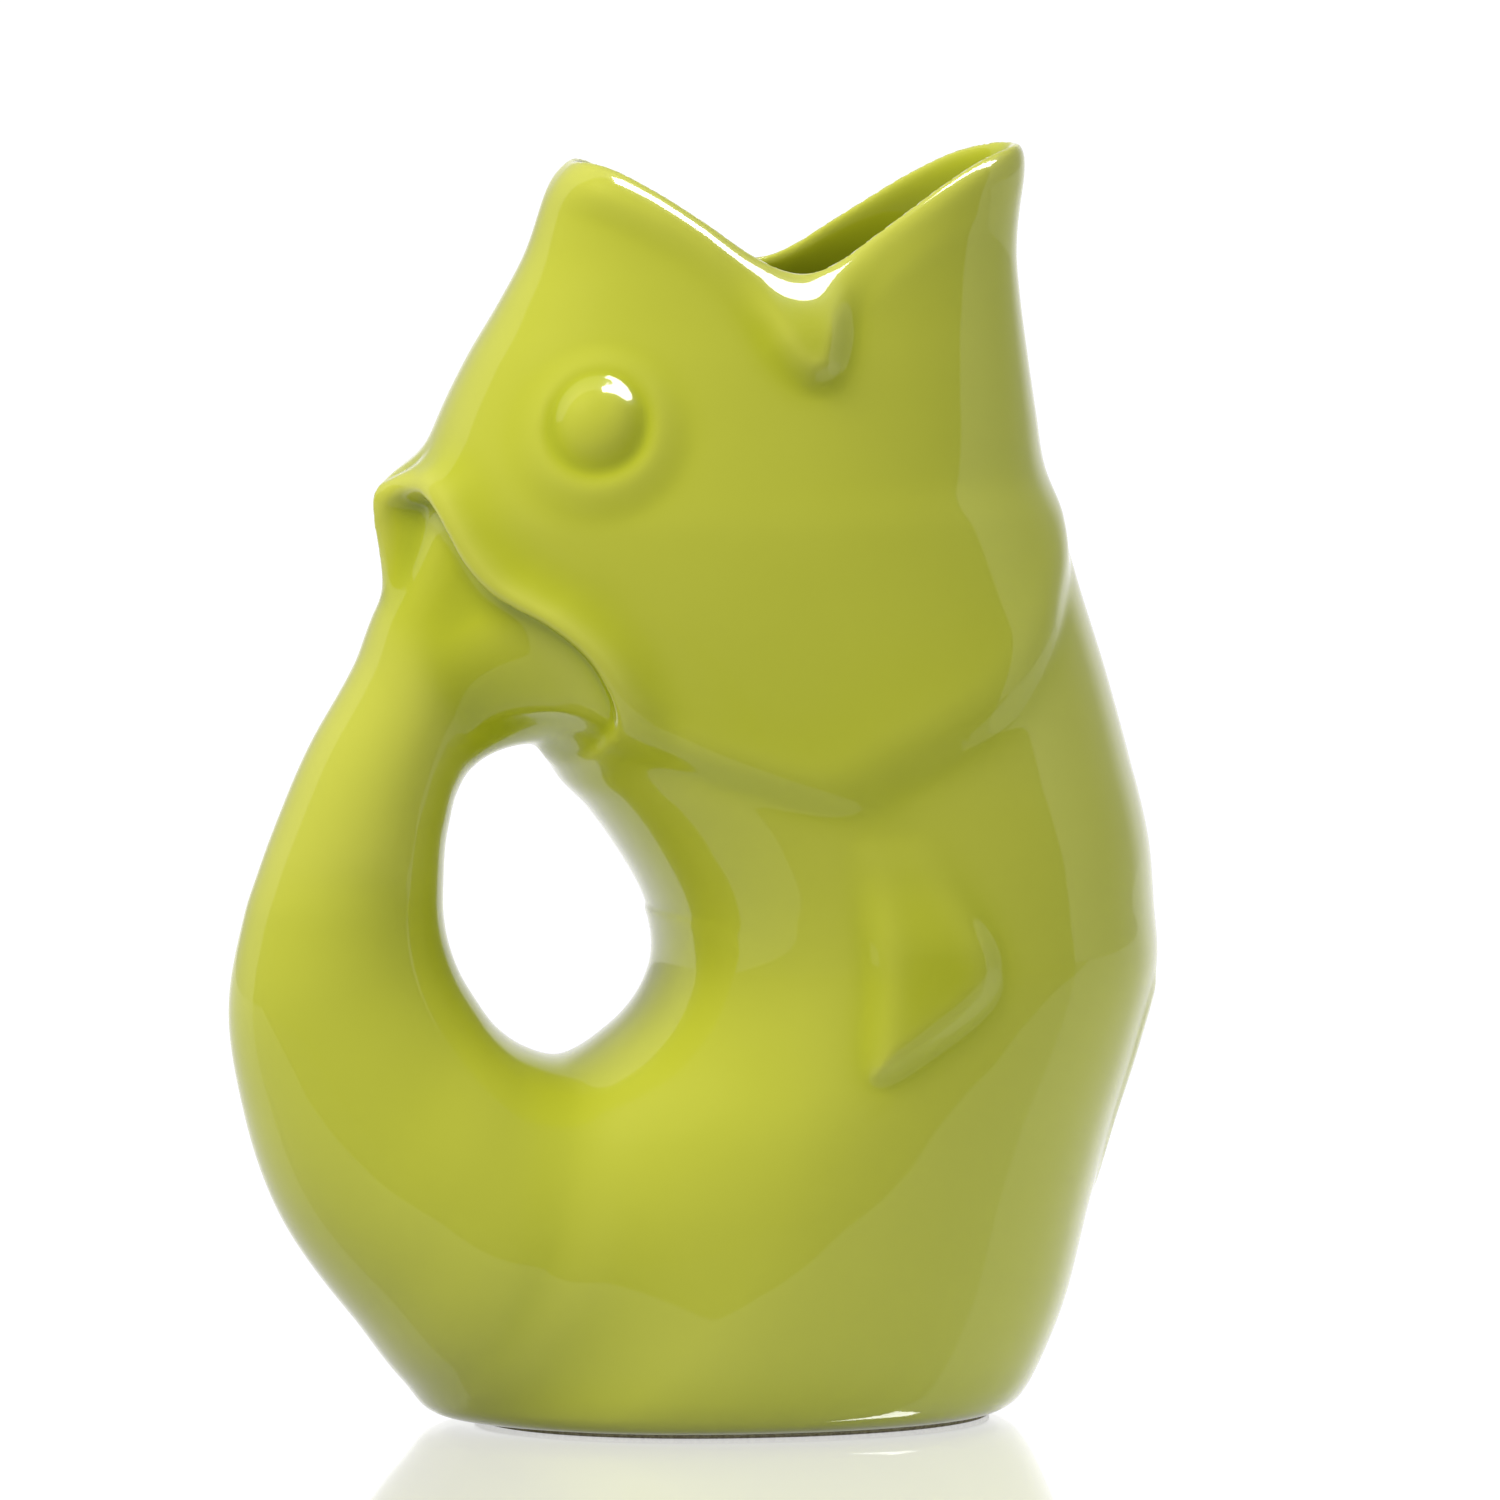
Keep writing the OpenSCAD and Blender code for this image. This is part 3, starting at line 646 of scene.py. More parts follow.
    def volume(self, body: BodyForm, tail: TailForm, grid: Grid, band: int) -> Array:
        """Field of the fin on the jug's grid, in millimetres, cut off at the width of its band."""
        rings = self.rings(body, tail)
        points = np.concatenate(rings + [rings[0].mean(0, keepdims=True), rings[-1].mean(0, keepdims=True)])
        n, m = self.TURNS, len(rings)
        i = np.arange(n)
        j = (i + 1) % n
        quads = np.concatenate([np.stack([k * n + i, k * n + j, (k + 1) * n + j, (k + 1) * n + i], 1)
                                for k in range(m - 1)])
        caps = np.concatenate([np.stack([np.full(n, m * n), j, i], 1),
                               np.stack([np.full(n, m * n + 1), (m - 1) * n + i, (m - 1) * n + j], 1)])
        level = openvdb.FloatGrid.createLevelSetFromPolygons(
            points.astype(np.float32), triangles=caps.astype(np.uint32), quads=quads.astype(np.uint32),
            transform=openvdb.createLinearTransform(voxelSize=grid.cell), halfWidth=float(band))
        out = np.zeros((grid.x.size, grid.y.size, grid.z.size), np.float32)
        corner = tuple(int(round(axis.ravel()[0] / grid.cell)) for axis in (grid.x, grid.y, grid.z))
        level.copyToArray(out, ijk=corner)
        return out


@dataclass
class JugForm:
    """The whole jug as one solid of fired clay under its glaze."""

    body: BodyForm = field(default_factory=BodyForm)
    tail: TailForm = field(default_factory=TailForm)
    eye: Eye = field(default_factory=Eye)
    fin: TailFin = field(default_factory=TailFin)
    wall: float = 4.5
    foot_height: float = 0.8
    floor_thickness: float = 6.0
    base_round: float = 4.0
    floor_round: float = 12.0
    root_fillet: float = 14.0
    root_fade: float = 1.1
    fin_near: Pair = (16.0, 6.0)
    fin_band: int = 10
    seam_round: float = 4.0
    seat_round: float = 1.0
    port_radius: float = 17.0
    gill_step: float = 3.8
    gill_round: float = 11.0
    gill_fillet: float = 4.0
    gill_fade: float = 0.45
    gill_per_degree: float = 1.15
    gill: Rows = (
        (0, 0.722), (20, 0.668), (32, 0.640), (43, 0.605), (62, 0.553), (85, 0.513),
        (102, 0.489), (118, 0.503), (145, 0.538), (165, 0.562), (180, 0.570),
    )
    gill_stand: Rows = ((0, 0.15), (20, 0.7), (45, 1), (120, 1), (140, 0.6), (158, 0.04), (180, 0.04))
    lip_end: float = 14.0
    band_roll: float = 2.6
    band_slope: float = 9.0
    band_stand: Rows = ((0, 0.25), (25, 0.7), (50, 1), (140, 1), (160, 0.6), (180, 0.15))
    band_foot: Rows = (
        (-0.60, 0.975), (-0.46, 0.952), (-0.305, 0.936), (-0.203, 0.922), (-0.107, 0.903), (-0.010, 0.876),
        (0.033, 0.853), (0.064, 0.830), (0.108, 0.811), (0.162, 0.800), (0.222, 0.802), (0.268, 0.815),
        (0.292, 0.838), (0.304, 0.860), (0.332, 0.882), (0.386, 0.9036), (0.480, 0.923), (0.576, 0.938),
        (0.657, 0.951), (0.720, 0.964), (0.900, 0.980),
    )
    corner_roll: float = 4.6
    corner_from: Pair = (248.0, 234.0)
    lip_tilt: float = 0.15
    lip_outer_round: float = 13.0
    lip_inner_round: float = 3.5
    rim_lift: float = 2.1
    rim: Rows = (
        (-0.34, 0.982), (-0.24, 0.981), (-0.13, 0.961), (-0.02, 0.935), (0.09, 0.907),
        (0.175, 0.895), (0.245, 0.902), (0.337, 0.924), (0.41, 0.941), (0.50, 0.961),
        (0.60, 0.980), (0.72, 0.994), (0.80, 0.998),
    )
    pectoral: Pad = field(default_factory=lambda: Pad((
        (104.5, 0.462), (95, 0.467), (88, 0.462), (84.6, 0.418), (81.5, 0.376), (83, 0.342),
        (92, 0.308), (102, 0.280), (108, 0.302), (111, 0.345), (110.5, 0.395), (108, 0.432),
    ), rise=3.5, edge=7.0, fillet=2.5, fade=(0.462, 0.375)))
    pelvic: Pad = field(default_factory=lambda: Pad((
        (21, 0.345), (14, 0.330), (10, 0.280), (8, 0.230), (9, 0.188), (13, 0.174),
        (18, 0.195), (23, 0.240), (26, 0.285), (26, 0.325),
    ), rise=0.35, edge=4.0, fillet=1.5))

    BAND_POINTS = 6

    def band(self, x: Array, z: Array, angle: Array) -> Array:
        """Height of the band round the mouth over the plain skin, with its low lobe under each corner."""
        foot = np.array([(row[0] * self.body.reach, row[1] * self.body.height) for row in self.band_foot])
        u = np.linspace(0, len(foot) - 1, self.BAND_POINTS * len(foot))
        knots = np.column_stack([np.arange(len(foot)), foot])
        line = np.stack([Curve(knots, 1)(u), Curve(knots, 2)(u)], 1)
        far_up = 2 * self.body.height
        above = np.array([(line[-1, 0], far_up), (line[0, 0], far_up)])
        inset = inset_of(*np.broadcast_arrays(x, z), np.concatenate([line, above]))
        roll = self.band_roll + (self.corner_roll - self.band_roll) * smooth_step(*self.corner_from, z)
        return roll * smooth_step(0, self.band_slope, inset) * Curve(self.band_stand, 1)(angle)

    def outer(self, grid: Grid) -> tuple[Array, Array]:
        """Fields of the glazed outer surface, and of the plain body and tail that the hollow follows."""
        body, tail = self.body, self.tail
        x, y, z = grid.x, grid.y, grid.z
        plain = body.gap(x, y, z)
        handle = tail.gap(x, y, z)
        root_top = tail.hole_z + tail.hole_radius * self.root_fade
        root = self.root_fillet * smooth_step(root_top, tail.hole_z, z) + NO_FILLET
        angle = body.angle(x, y, z)
        gill = Curve(self.gill, 1, 1, body.height)
        line = gill(angle)
        rim = Curve(self.rim, 1, body.reach, body.height)
        crest = rim(x) + self.rim_lift
        above = np.clip((z - line) / (crest - self.lip_end - line) / self.gill_fade, 0, 1)
        stand = self.gill_step * Curve(self.gill_stand, 1)(angle) * (1 - above) ** 2
        stand = stand + self.band(x, z, angle) + self.eye.stand(x, y, z, body)
        under = (line - z) * (1 / np.sqrt(1 + (gill.slope(angle) / self.gill_per_degree) ** 2))
        head = smooth_max(plain - stand, under, self.gill_round)
        skin = smooth_min(plain, head, self.gill_fillet)
        for pad in (self.pectoral, self.pelvic):
            pad.lay(skin, plain, grid, body)
        self.eye.lay(skin, grid, body)
        fin = self.fin.volume(body, tail, grid, self.fin_band)
        reach = self.fin.fillet(angle, z, tail) * smooth_step(*self.fin_near, plain) + NO_FILLET
        skin = smooth_min(skin, fin, reach)
        skin = smooth_min(skin, handle, root)
        over = z - crest + self.lip_tilt * np.maximum(plain + self.wall / 2, 0)
        slant = 1 / np.sqrt(1 + self.lip_tilt ** 2 + rim.slope(x) ** 2)
        skin = smooth_max(skin, over * slant, self.lip_outer_round)
        skin = smooth_max(skin, self.foot_height - z, self.base_round)
        return skin, np.minimum(smooth_min(plain, handle, root), handle)

    def hollow(self, grid: Grid, plain: Array) -> Array:
        """Field of the space inside: the belly and head, the tail, and the port between them."""
        x, y, z = grid.x, grid.y, grid.z
        tail = self.tail
        inner = plain + self.wall
        below = z < tail.hole_z
        past = tail.seat_side(x, z)
        floor = self.foot_height + self.floor_thickness - z
        rho, turn = tail.polar(x, z)
        belly = smooth_max(self.body.gap(x, y, z) + self.wall, floor, self.floor_round)
        root = smooth_max(inner, floor, self.floor_round)
        belly = np.where(below, smooth_max(root, past + self.wall, self.seam_round), belly)
        handle = smooth_max(tail.gap(x, y, z) + self.wall, floor, self.floor_round)
        handle = np.where(below, smooth_max(root, -past, self.seat_round), handle)
        tip = rho * np.radians(tail.tip_turn + tail.tip_overlap - turn)
        handle = smooth_max(handle, tip, self.seam_round)
        centre = tail.radius(tail.root_turn)
        port = np.hypot(np.sqrt(np.maximum(rho ** 2 - past ** 2, 0)) - centre, y) - self.port_radius
        port = np.maximum(port, np.abs(past + self.wall / 2) - self.wall)
        port = np.where(below, port, self.body.reach)
        return np.minimum(np.minimum(belly, handle), port)

    def solid(self, grid: Grid) -> tuple[Array, Array]:
        """Fields of the glazed clay and of the hollow, negative inside, over the grid's half of the jug."""
        skin, plain = self.outer(grid)
        hollow = self.hollow(grid, plain)
        return smooth_max(skin, -hollow, self.lip_inner_round), hollow


class Skin:
    """Turns the field over one half into one smooth closed mesh of the whole jug."""

    BAND = 4.0
    STEPS = 4
    LEAST_STEEP = 0.25
    GLAZE_BLUR = 12
    GLAZE_MIDDLE = 0.5
    GLAZE_REACH = 1.6
    # painted shade: how far the glaze inside the hollow is pushed towards its darkest colour, and the span of
    # the hollow's field over which this comes in
    PAINTED_SHADE_INSIDE = 0.6
    SHADE_INSIDE_SPAN = (2.0, -0.5)

    def __init__(self, grid: Grid, half: Array, hollow: Array, faces: int) -> None:
        """Mirrors the field.

        Args:
            grid: Grid of the half field; its first row lies on the plane of symmetry.
            half: The half field.
            hollow: The half field of the hollow, inside which the glaze is darkened as painted shade.
            faces: How many triangles the mesh may have.
        """
        self.cell = grid.cell
        self.low = np.array([grid.x.ravel()[0], -grid.y.ravel()[-1], grid.z.ravel()[0]])
        self.field = np.concatenate([half[:, :0:-1], half], 1).astype(np.float32)
        self.hollow = np.concatenate([hollow[:, :0:-1], hollow], 1).astype(np.float32)
        self.faces = faces

    def blurred(self, field: Array, passes: int) -> Array:
        """The field after some passes of a three-point blur along each axis."""
        for _ in range(passes):
            for axis in range(3):
                first = [slice(None)] * 3
                last = [slice(None)] * 3
                first[axis], last[axis] = slice(0, 1), slice(-1, None)
                padded = np.concatenate([field[tuple(first)], field, field[tuple(last)]], axis)
                cut = [[slice(None)] * 3 for _ in range(3)]
                cut[0][axis], cut[1][axis], cut[2][axis] = slice(0, -2), slice(1, -1), slice(2, None)
                field = (padded[tuple(cut[0])] + padded[tuple(cut[2])]) * 0.25 + padded[tuple(cut[1])] * 0.5
        return field

    def sample(self, field: Array, points: Array) -> tuple[Array, Array]:
        """Smooth reading of a field between the grid's points, by a cubic B-spline.

        Args:
            field: The field.
            points: Points in millimetres, one a row.

        Returns:
            The value and the gradient at each point.
        """
        at = (points - self.low) / self.cell
        i = np.clip(np.floor(at).astype(int), 1, np.array(field.shape) - 3)
        t = at - i
        weight, steep = [], []
        for axis in range(3):
            u = t[:, axis]
            weight.append([(1 - u) ** 3 / 6, (3 * u ** 3 - 6 * u ** 2 + 4) / 6,
                           (-3 * u ** 3 + 3 * u ** 2 + 3 * u + 1) / 6, u ** 3 / 6])
            steep.append([-(1 - u) ** 2 / 2, (3 * u ** 2 - 4 * u) / 2,
                          (-3 * u ** 2 + 2 * u + 1) / 2, u ** 2 / 2])
        flat, shape = field.ravel(), field.shape
        value = np.zeros(len(points))
        slope = np.zeros((len(points), 3))
        for a in range(4):
            for b in range(4):
                row = ((i[:, 0] + a - 1) * shape[1] + i[:, 1] + b - 1) * shape[2] + i[:, 2] - 1
                for c in range(4):
                    f = flat[row + c]
                    value += weight[0][a] * weight[1][b] * weight[2][c] * f
                    slope[:, 0] += steep[0][a] * weight[1][b] * weight[2][c] * f
                    slope[:, 1] += weight[0][a] * steep[1][b] * weight[2][c] * f
                    slope[:, 2] += weight[0][a] * weight[1][b] * steep[2][c] * f
        return value, slope / self.cell

    def raw(self) -> bpy.types.Object:
        """Dense quad mesh of the surface, thinned to the number of triangles allowed."""
        level = openvdb.FloatGrid(self.BAND)
        level.copyFromArray(np.clip(self.blurred(self.field, 1), -self.BAND, self.BAND), tolerance=0.0)
        points, quads = level.convertToQuads(0.0)
        points = points * self.cell + self.low
        mesh = bpy.data.meshes.new("glazed_jug")
        mesh.from_pydata(points.tolist(), [], quads.tolist())
        piece = placed("glazed_jug", mesh)
        log.info("dense skin: %d points, %d quads", len(points), len(quads))
        thin = piece.modifiers.new("thin", "DECIMATE")
        thin.ratio = min(1.0, self.faces / (2 * len(quads)))
        flatten(piece)
        return piece

    def build(self) -> bpy.types.Object:
        """The finished mesh in metres, with exact normals and, at every point, the glaze's depth plus painted
        shade inside the hollow.
        """
        piece = self.raw()
        mesh = piece.data
        points = np.zeros(len(mesh.vertices) * 3)
        mesh.vertices.foreach_get("co", points)
        points = points.reshape(-1, 3)
        for _ in range(self.STEPS):
            value, slope = self.sample(self.field, points)
            steep = np.maximum((slope ** 2).sum(1), self.LEAST_STEEP)
            move = value / steep
            points -= np.clip(move, -self.cell, self.cell).reshape(-1, 1) * slope
        value, slope = self.sample(self.field, points)
        normal = slope / np.maximum(np.linalg.norm(slope, axis=1, keepdims=True), NARROW)
        soft, _ = self.sample(self.blurred(self.field, self.GLAZE_BLUR), points)
        inside, _ = self.sample(self.hollow, points)
        pooling_and_shade = self.GLAZE_MIDDLE - soft / self.GLAZE_REACH
        # painted shade: inside the hollow the glaze is darkened towards its pooled colour, standing in for
        # the shade in the mouth
        pooling_and_shade = pooling_and_shade + self.PAINTED_SHADE_INSIDE * smooth_step(*self.SHADE_INSIDE_SPAN, inside)
        mesh.vertices.foreach_set("co", (points * MM).ravel())
        mesh.polygons.foreach_set("use_smooth", np.ones(len(mesh.polygons), bool))
        mesh.update()
        mesh.normals_split_custom_set_from_vertices(normal.tolist())
        # the attribute carries the glaze's depth together with the painted shade inside the hollow
        depth = mesh.attributes.new("glaze_depth_and_inside_shade", "FLOAT", "POINT")
        depth.data.foreach_set("value", np.clip(pooling_and_shade, 0, 1).astype(np.float32))
        log.info("skin: %d points, %d faces, largest residue %.3f mm", len(points), len(mesh.polygons),
                 np.abs(value).max())
        return piece


@dataclass(frozen=True)
class Glaze:
    """Glossy yellow-green glaze: thicker and greener in the recesses, thinner and paler over the edges, and
    darkened inside the hollow as painted shade.
    """

    thin: Triple = (0.62, 0.66, 0.075)
    body: Triple = (0.520, 0.575, 0.022)
    # the pooled colour also serves as the painted shade inside the hollow
    pooled_and_shade: Triple = (0.33, 0.40, 0.010)
    roughness: float = 0.28
    coat: float = 1.0
    coat_roughness: float = 0.025
    coat_ior: float = 1.5
    under_gloss: float = 0.1
    depths: tuple[float, ...] = (0.10, 0.52, 0.98)
    cloud_scale: float = 28.0
    cloud_detail: float = 3.0
    cloud_depth: float = 0.10
    ripple_scale: float = 90.0
    ripple_detail: float = 1.0
    ripple_strength: float = 0.02
    ripple_height: float = 0.001

    def material(self) -> bpy.types.Material:
        """Builds the glaze's material."""
        made, tree = shader_tree("glaze")
        place = node(tree, "ShaderNodeTexCoord", {}).outputs["Object"]
        # reads the glaze's depth together with the painted shade inside the hollow
        depth = node(tree, "ShaderNodeAttribute", {})
        depth.attribute_name = "glaze_depth_and_inside_shade"
        cloud = node(tree, "ShaderNodeTexNoise", {
            "Scale": self.cloud_scale, "Detail": self.cloud_detail, "Vector": place})
        drift = node(tree, "ShaderNodeMath", {
            0: cloud.outputs["Fac"], 1: self.cloud_depth, 2: depth.outputs["Fac"]}, "MULTIPLY_ADD")
        ripple = node(tree, "ShaderNodeTexNoise", {
            "Scale": self.ripple_scale, "Detail": self.ripple_detail, "Vector": place})
        bump = node(tree, "ShaderNodeBump", {
            "Strength": self.ripple_strength, "Distance": self.ripple_height,
            "Height": ripple.outputs["Fac"]})
        wire(tree, tree.nodes["Principled BSDF"], {
            "Base Color": ramp(tree, drift.outputs[0], self.depths, (self.thin, self.body, self.pooled_and_shade)),
            "Roughness": self.roughness, "Specular IOR Level": self.under_gloss, "Coat Weight": self.coat,
            "Coat Roughness": self.coat_roughness, "Coat IOR": self.coat_ior,
            "Coat Normal": bump.outputs["Normal"]})
        return made


@dataclass(frozen=True)
class BareClay:
    """Matt unglazed stoneware with fine grog."""

    pale: Triple = (0.72, 0.66, 0.54)
    dark: Triple = (0.50, 0.43, 0.33)
    roughness: float = 0.85
    tones: tuple[float, ...] = (0.35, 0.6)
    grog_scale: float = 900.0
    grog_detail: float = 4.0
    grog_strength: float = 0.4
    grog_height: float = 0.0002

    def material(self) -> bpy.types.Material:
        """Builds the bare clay's material."""
        made, tree = shader_tree("bare_clay")
        place = node(tree, "ShaderNodeTexCoord", {}).outputs["Object"]
        grog = node(tree, "ShaderNodeTexNoise", {
            "Scale": self.grog_scale, "Detail": self.grog_detail, "Vector": place}).outputs["Fac"]
        bump = node(tree, "ShaderNodeBump", {
            "Strength": self.grog_strength, "Distance": self.grog_height, "Height": grog})
        wire(tree, tree.nodes["Principled BSDF"], {
            "Base Color": ramp(tree, grog, self.tones, (self.dark, self.pale)),
            "Roughness": self.roughness, "Normal": bump.outputs["Normal"]})
        return made


@dataclass
class FootRing:
    """Unglazed ring that the jug stands on, swept along the belly's base."""

    form: JugForm
    width: float = 7.0
    inset: float = 4.0
    bevel: float = 0.5
    sink: float = 0.6

    POINTS = 160
    BEVEL_POINTS = 4

    def outline(self) -> Array:
        """Middle line of the ring, in metres."""
        body, height = self.form.body, self.form.foot_height
        k, c, s = body.turned(np.arange(self.POINTS) * 360 / self.POINTS)
        inward = self.inset + self.width / 2
        length, wide = body.half_length(height) - inward, body.half_width(height) - inward
        middle = np.full(self.POINTS, (height + self.sink) / 2)
        return np.stack([body.centre(height) + length * k * c, wide * k * s, middle], 1) * MM

    def tree(self, clay: bpy.types.Material) -> bpy.types.NodeTree:
        """Geometry nodes that sweep a rounded bar along the outline."""
        tree = bpy.data.node_groups.new("foot_ring_sweep", "GeometryNodeTree")
        face = tree.interface
        face.new_socket("Outline", in_out="INPUT", socket_type="NodeSocketGeometry")
        sizes = {"Width": self.width, "Height": self.form.foot_height + self.sink, "Bevel": self.bevel}
        for name, value in sizes.items():
            socket = face.new_socket(name, in_out="INPUT", socket_type="NodeSocketFloat")
            socket.default_value = value * MM
        face.new_socket("Ring", in_out="OUTPUT", socket_type="NodeSocketGeometry")
        given = node(tree, "NodeGroupInput", {}).outputs
        path = node(tree, "GeometryNodeMeshToCurve", {"Mesh": given["Outline"]})
        bar = node(tree, "GeometryNodeCurvePrimitiveQuadrilateral", {
            "Width": given["Width"], "Height": given["Height"]})
        rounded = node(tree, "GeometryNodeFilletCurve", {})
        rounded.mode = "POLY"
        wire(tree, rounded, {
            "Curve": bar.outputs["Curve"], "Count": self.BEVEL_POINTS, "Radius": given["Bevel"]})
        sweep = node(tree, "GeometryNodeCurveToMesh", {
            "Curve": path.outputs["Curve"], "Profile Curve": rounded.outputs["Curve"]})
        real = node(tree, "GeometryNodeRealizeInstances", {"Geometry": sweep.outputs["Mesh"]})
        dress = node(tree, "GeometryNodeSetMaterial", {
            "Geometry": real.outputs["Geometry"], "Material": clay})
        node(tree, "NodeGroupOutput", {"Ring": dress.outputs["Geometry"]})
        return tree

    def build(self, clay: bpy.types.Material) -> bpy.types.Object:
        """The ring as a plain mesh, resting at height zero."""
        points = self.outline()
        path = bpy.data.meshes.new("foot_ring_path")
        edges = [(i, (i + 1) % len(points)) for i in range(len(points))]
        path.from_pydata(points.tolist(), edges, [])
        piece = placed("bare_foot_ring", path)
        sweep = piece.modifiers.new("sweep", "NODES")
        sweep.node_group = self.tree(clay)
        flatten(piece)
        log.info("foot ring: %d faces", len(piece.data.polygons))
        return piece


@dataclass
class GlazedJug:
    """The glazed jug: one skin over all the clay parts but the foot ring."""

    form: JugForm
    cell: float = 1.0
    faces: int = 190000
    margin: float = 3.0

    PARTS = (
        "belly_casting", "head_casting", "mouth_lip", "tail_casting", "tail_fin", "right_eye", "left_eye",
        "right_eye_socket", "left_eye_socket", "right_mouth_corner", "left_mouth_corner",
        "right_pectoral_fin", "left_pectoral_fin", "right_pelvic_fin", "left_pelvic_fin",
    )

    def build(self, glaze: bpy.types.Material) -> bpy.types.Object:
        """Builds the skin and dresses it."""
        low, high = (np.array(corner) / MM for corner in cad_box)
        grid = Grid(self.cell, (low[0] - self.margin, 0, -self.margin), tuple(high + self.margin))
        piece = Skin(grid, *self.form.solid(grid), self.faces).build()
        piece.data.materials.append(glaze)
        return piece


@dataclass
class Studio:
    """White table and surroundings, dim in front, with soft lamps and the camera of the photograph."""

    turn: float = -12.0
    elevation: float = 5.3
    distance: float = 5.0
    look_at: Triple = (0.0, 0.0, 0.138)
    shift_right: float = 0.01160
    shift_up: float = 0.0058
    lens: float = 558.8
    sensor: float = 36.0
    table_size: float = 6.0
    table_gloss: float = 0.50
    table_grey: float = 0.3
    table_white: float = 0.84
    table_front: float = 0.24
    table_front_blur: float = 0.005
    table_seen_grey: float = 0.9
    table_glow: float = 1.33
    table_roughness: float = 0.025
    fill: float = 0.38
    fill_above: float = 0.58
    fill_between: Pair = (0.2, 0.9)
    walls: Rows = ((0.0, 0.25), (0.02, 0.9), (0.5, 0.5), (0.8, 0.5), (0.93, 1.0))
    walls_from: float = 66.0
    key_place: Triple = (-1.2, -0.42, 1.85)
    key_size: Pair = (1.2, 1.2)
    key_power: float = 35.0
    key_colour: Triple = (1.0, 0.93, 0.80)
    strip_right: float = 0.42
    strip_height: float = 1.4
    strip_size: Pair = (0.34, 1.15)
    strip_power: float = 27.0

    SIGHT = 100.0

    def camera(self) -> None:
        """Places the camera far off, so that the view is nearly flat."""
        turn, lift = math.radians(self.turn), math.radians(self.elevation)
        toward = Vector((math.sin(turn) * math.cos(lift), -math.cos(turn) * math.cos(lift), math.sin(lift)))
        right = Vector((math.cos(turn), math.sin(turn), 0))
        up = toward.cross(right)
        data = bpy.data.cameras.new("camera")
        data.lens = self.lens
        data.sensor_width = self.sensor
        data.clip_end = self.SIGHT
        camera = placed("camera", data)
        place = Vector(self.look_at) + right * self.shift_right + up * self.shift_up + toward * self.distance
        rotation = Matrix((right, up, toward)).transposed()
        camera.matrix_world = Matrix.Translation(place) @ rotation.to_4x4()
        bpy.context.scene.camera = camera

    def lamp(self, name: str, place: Triple, size: Pair, power: float) -> bpy.types.Object:
        """Adds a rectangular softbox that faces the jug.

        Args:
            name: Name of the lamp.
            place: Where it stands.
            size: Its width and height.
            power: Its power in watts.

        Returns:
            The lamp's object.
        """
        data = bpy.data.lights.new(name, "AREA")
        data.shape = "RECTANGLE"
        data.size, data.size_y = size
        data.energy = power
        lamp = placed(name, data)
        lamp.location = place
        aim = Vector(self.look_at) - Vector(place)
        lamp.rotation_euler = aim.to_track_quat("-Z", "Y").to_euler()
        return lamp

    def table_material(self) -> bpy.types.Material:
        """Glossy white that the camera sees as white, and that gloss sees so behind the table's front."""
        made, tree = shader_tree("white_table")
        tree.nodes.clear()
        rays = node(tree, "ShaderNodeLightPath", {}).outputs
        grey = node(tree, "ShaderNodeMapRange", {
            "Value": rays["Is Camera Ray"], "To Min": self.table_grey, "To Max": self.table_seen_grey})
        matt = node(tree, "ShaderNodeBsdfDiffuse", {"Color": grey.outputs["Result"]})
        bright = node(tree, "ShaderNodeEmission", {"Strength": self.table_glow})
        turn = math.radians(self.turn)
        ahead = node(tree, "ShaderNodeVectorMath", {
            0: node(tree, "ShaderNodeTexCoord", {}).outputs["Object"],
            1: (math.sin(turn), -math.cos(turn), 0)}, "DOT_PRODUCT")
        near = node(tree, "ShaderNodeMapRange", {
            "Value": ahead.outputs["Value"], "From Min": self.table_front + self.table_front_blur,
            "From Max": self.table_front - self.table_front_blur})
        shown = node(tree, "ShaderNodeMath", {
            0: rays["Is Glossy Ray"], 1: near.outputs["Result"], 2: rays["Is Camera Ray"]}, "MULTIPLY_ADD")
        white = node(tree, "ShaderNodeMath", {0: shown.outputs[0], 1: self.table_white}, "MULTIPLY")
        face = node(tree, "ShaderNodeMixShader", {
            "Fac": white.outputs[0], 1: matt.outputs[0], 2: bright.outputs[0]})
        gloss = node(tree, "ShaderNodeBsdfGlossy", {
            "Color": (1, 1, 1, 1), "Roughness": self.table_roughness})
        top = node(tree, "ShaderNodeMixShader", {
            "Fac": self.table_gloss, 1: face.outputs[0], 2: gloss.outputs[0]})
        node(tree, "ShaderNodeOutputMaterial", {"Surface": top.outputs[0]})
        return made

    def table(self) -> None:
        """Lays the table, which runs to the horizon."""
        size = self.table_size
        mesh = bpy.data.meshes.new("table")
        corners = [(-size, -size, 0), (size, -size, 0), (size, size, 0), (-size, size, 0)]
        mesh.from_pydata(corners, [], [(0, 1, 2, 3)])
        mesh.materials.append(self.table_material())
        table = placed("table", mesh)

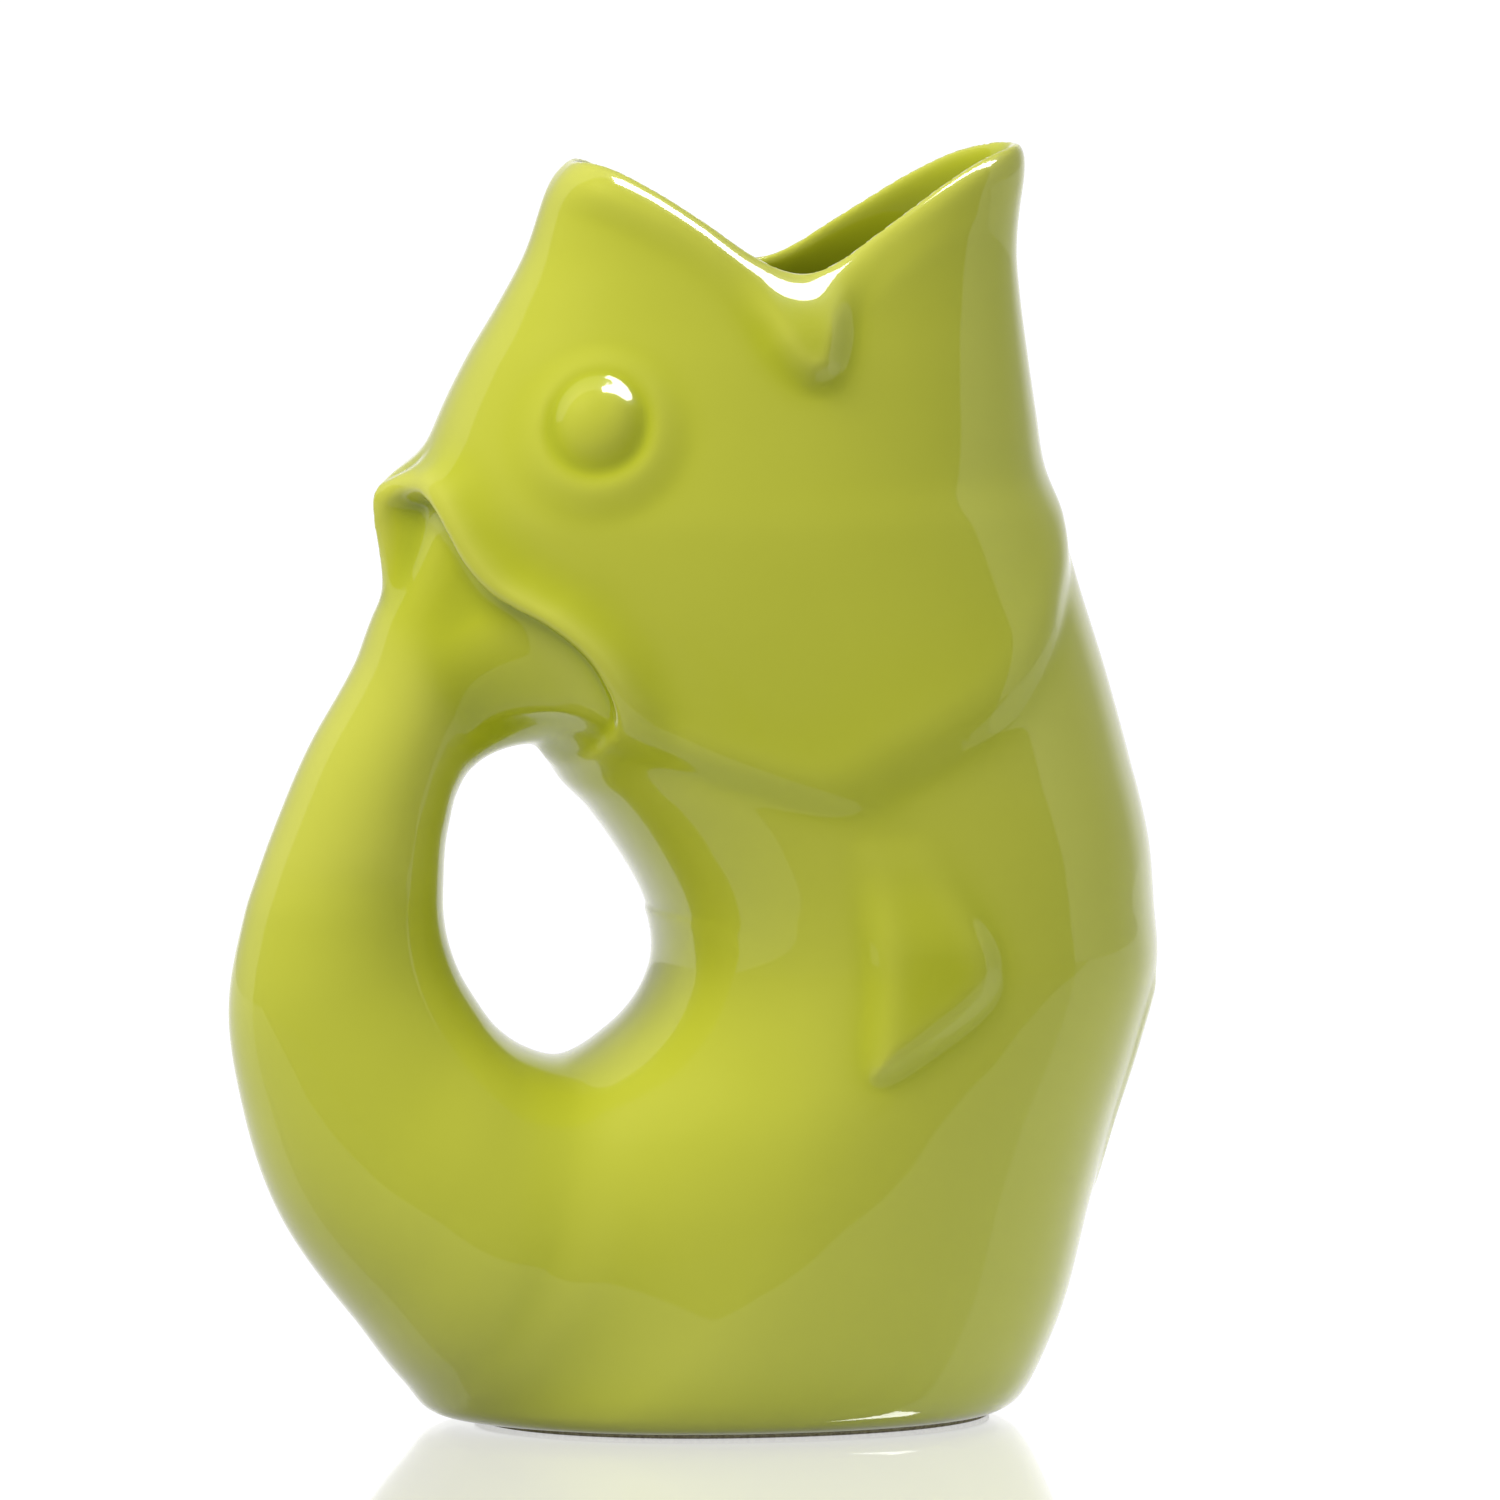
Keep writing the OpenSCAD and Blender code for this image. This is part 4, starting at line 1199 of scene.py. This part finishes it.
    def world(self) -> None:
        """Even fill light, white to the camera; gloss sees it white behind the jug and dim in front."""
        world = bpy.data.worlds.new("studio")
        bpy.context.scene.world = world
        world.use_nodes = True
        tree = world.node_tree
        place = node(tree, "ShaderNodeTexCoord", {}).outputs["Generated"]
        heading = node(tree, "ShaderNodeSeparateXYZ", {0: place})
        ceiling = node(tree, "ShaderNodeMapRange", {
            "Value": heading.outputs["Z"], "From Min": self.fill_between[0], "From Max": self.fill_between[1],
            "To Min": self.fill, "To Max": self.fill_above})
        fill = tree.nodes["Background"]
        wire(tree, fill, {"Color": (1, 1, 1, 1), "Strength": ceiling.outputs["Result"]})
        edge = math.radians(self.walls_from)
        behind = node(tree, "ShaderNodeVectorMath", {
            0: place, 1: (math.cos(edge), math.sin(edge), 0)}, "DOT_PRODUCT")
        places, greys = zip(*self.walls)
        sides = node(tree, "ShaderNodeBackground", {
            "Color": ramp(tree, behind.outputs["Value"], places, tuple((grey,) * 3 for grey in greys))})
        white = node(tree, "ShaderNodeBackground", {"Color": (1, 1, 1, 1), "Strength": 1.0})
        rays = node(tree, "ShaderNodeLightPath", {}).outputs
        shiny = node(tree, "ShaderNodeMixShader", {
            "Fac": rays["Is Glossy Ray"], 1: fill.outputs[0], 2: sides.outputs[0]})
        seen = node(tree, "ShaderNodeMixShader", {
            "Fac": rays["Is Camera Ray"], 1: shiny.outputs[0], 2: white.outputs[0]})
        wire(tree, tree.nodes["World Output"], {"Surface": seen.outputs[0]})

    def build(self) -> None:
        """Sets up the camera, the table, the lamps and the world."""
        bpy.context.scene.view_settings.view_transform = "Standard"
        self.camera()
        self.table()
        self.world()
        key = self.lamp("key", self.key_place, self.key_size, self.key_power)
        key.data.color = self.key_colour
        key.visible_glossy = False
        turn = math.radians(self.turn)
        place = (self.strip_right * math.cos(turn), self.strip_right * math.sin(turn), self.strip_height)
        strip = self.lamp("strip_light", place, self.strip_size, self.strip_power)
        strip.visible_diffuse = False
        log.info("studio: camera, table, world, key lamp and strip light")


def main() -> None:
    """Builds the studio and the jug, and ties every piece to the frame."""
    logging.basicConfig(level=logging.INFO, format="%(name)s: %(message)s")
    form = JugForm()
    Studio().build()
    jug = GlazedJug(form).build(Glaze().material())
    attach(jug, "root")
    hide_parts(*GlazedJug.PARTS)
    ring = FootRing(form).build(BareClay().material())
    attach(ring, "root")
    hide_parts("foot_ring")


if __name__ == "__main__":
    main()
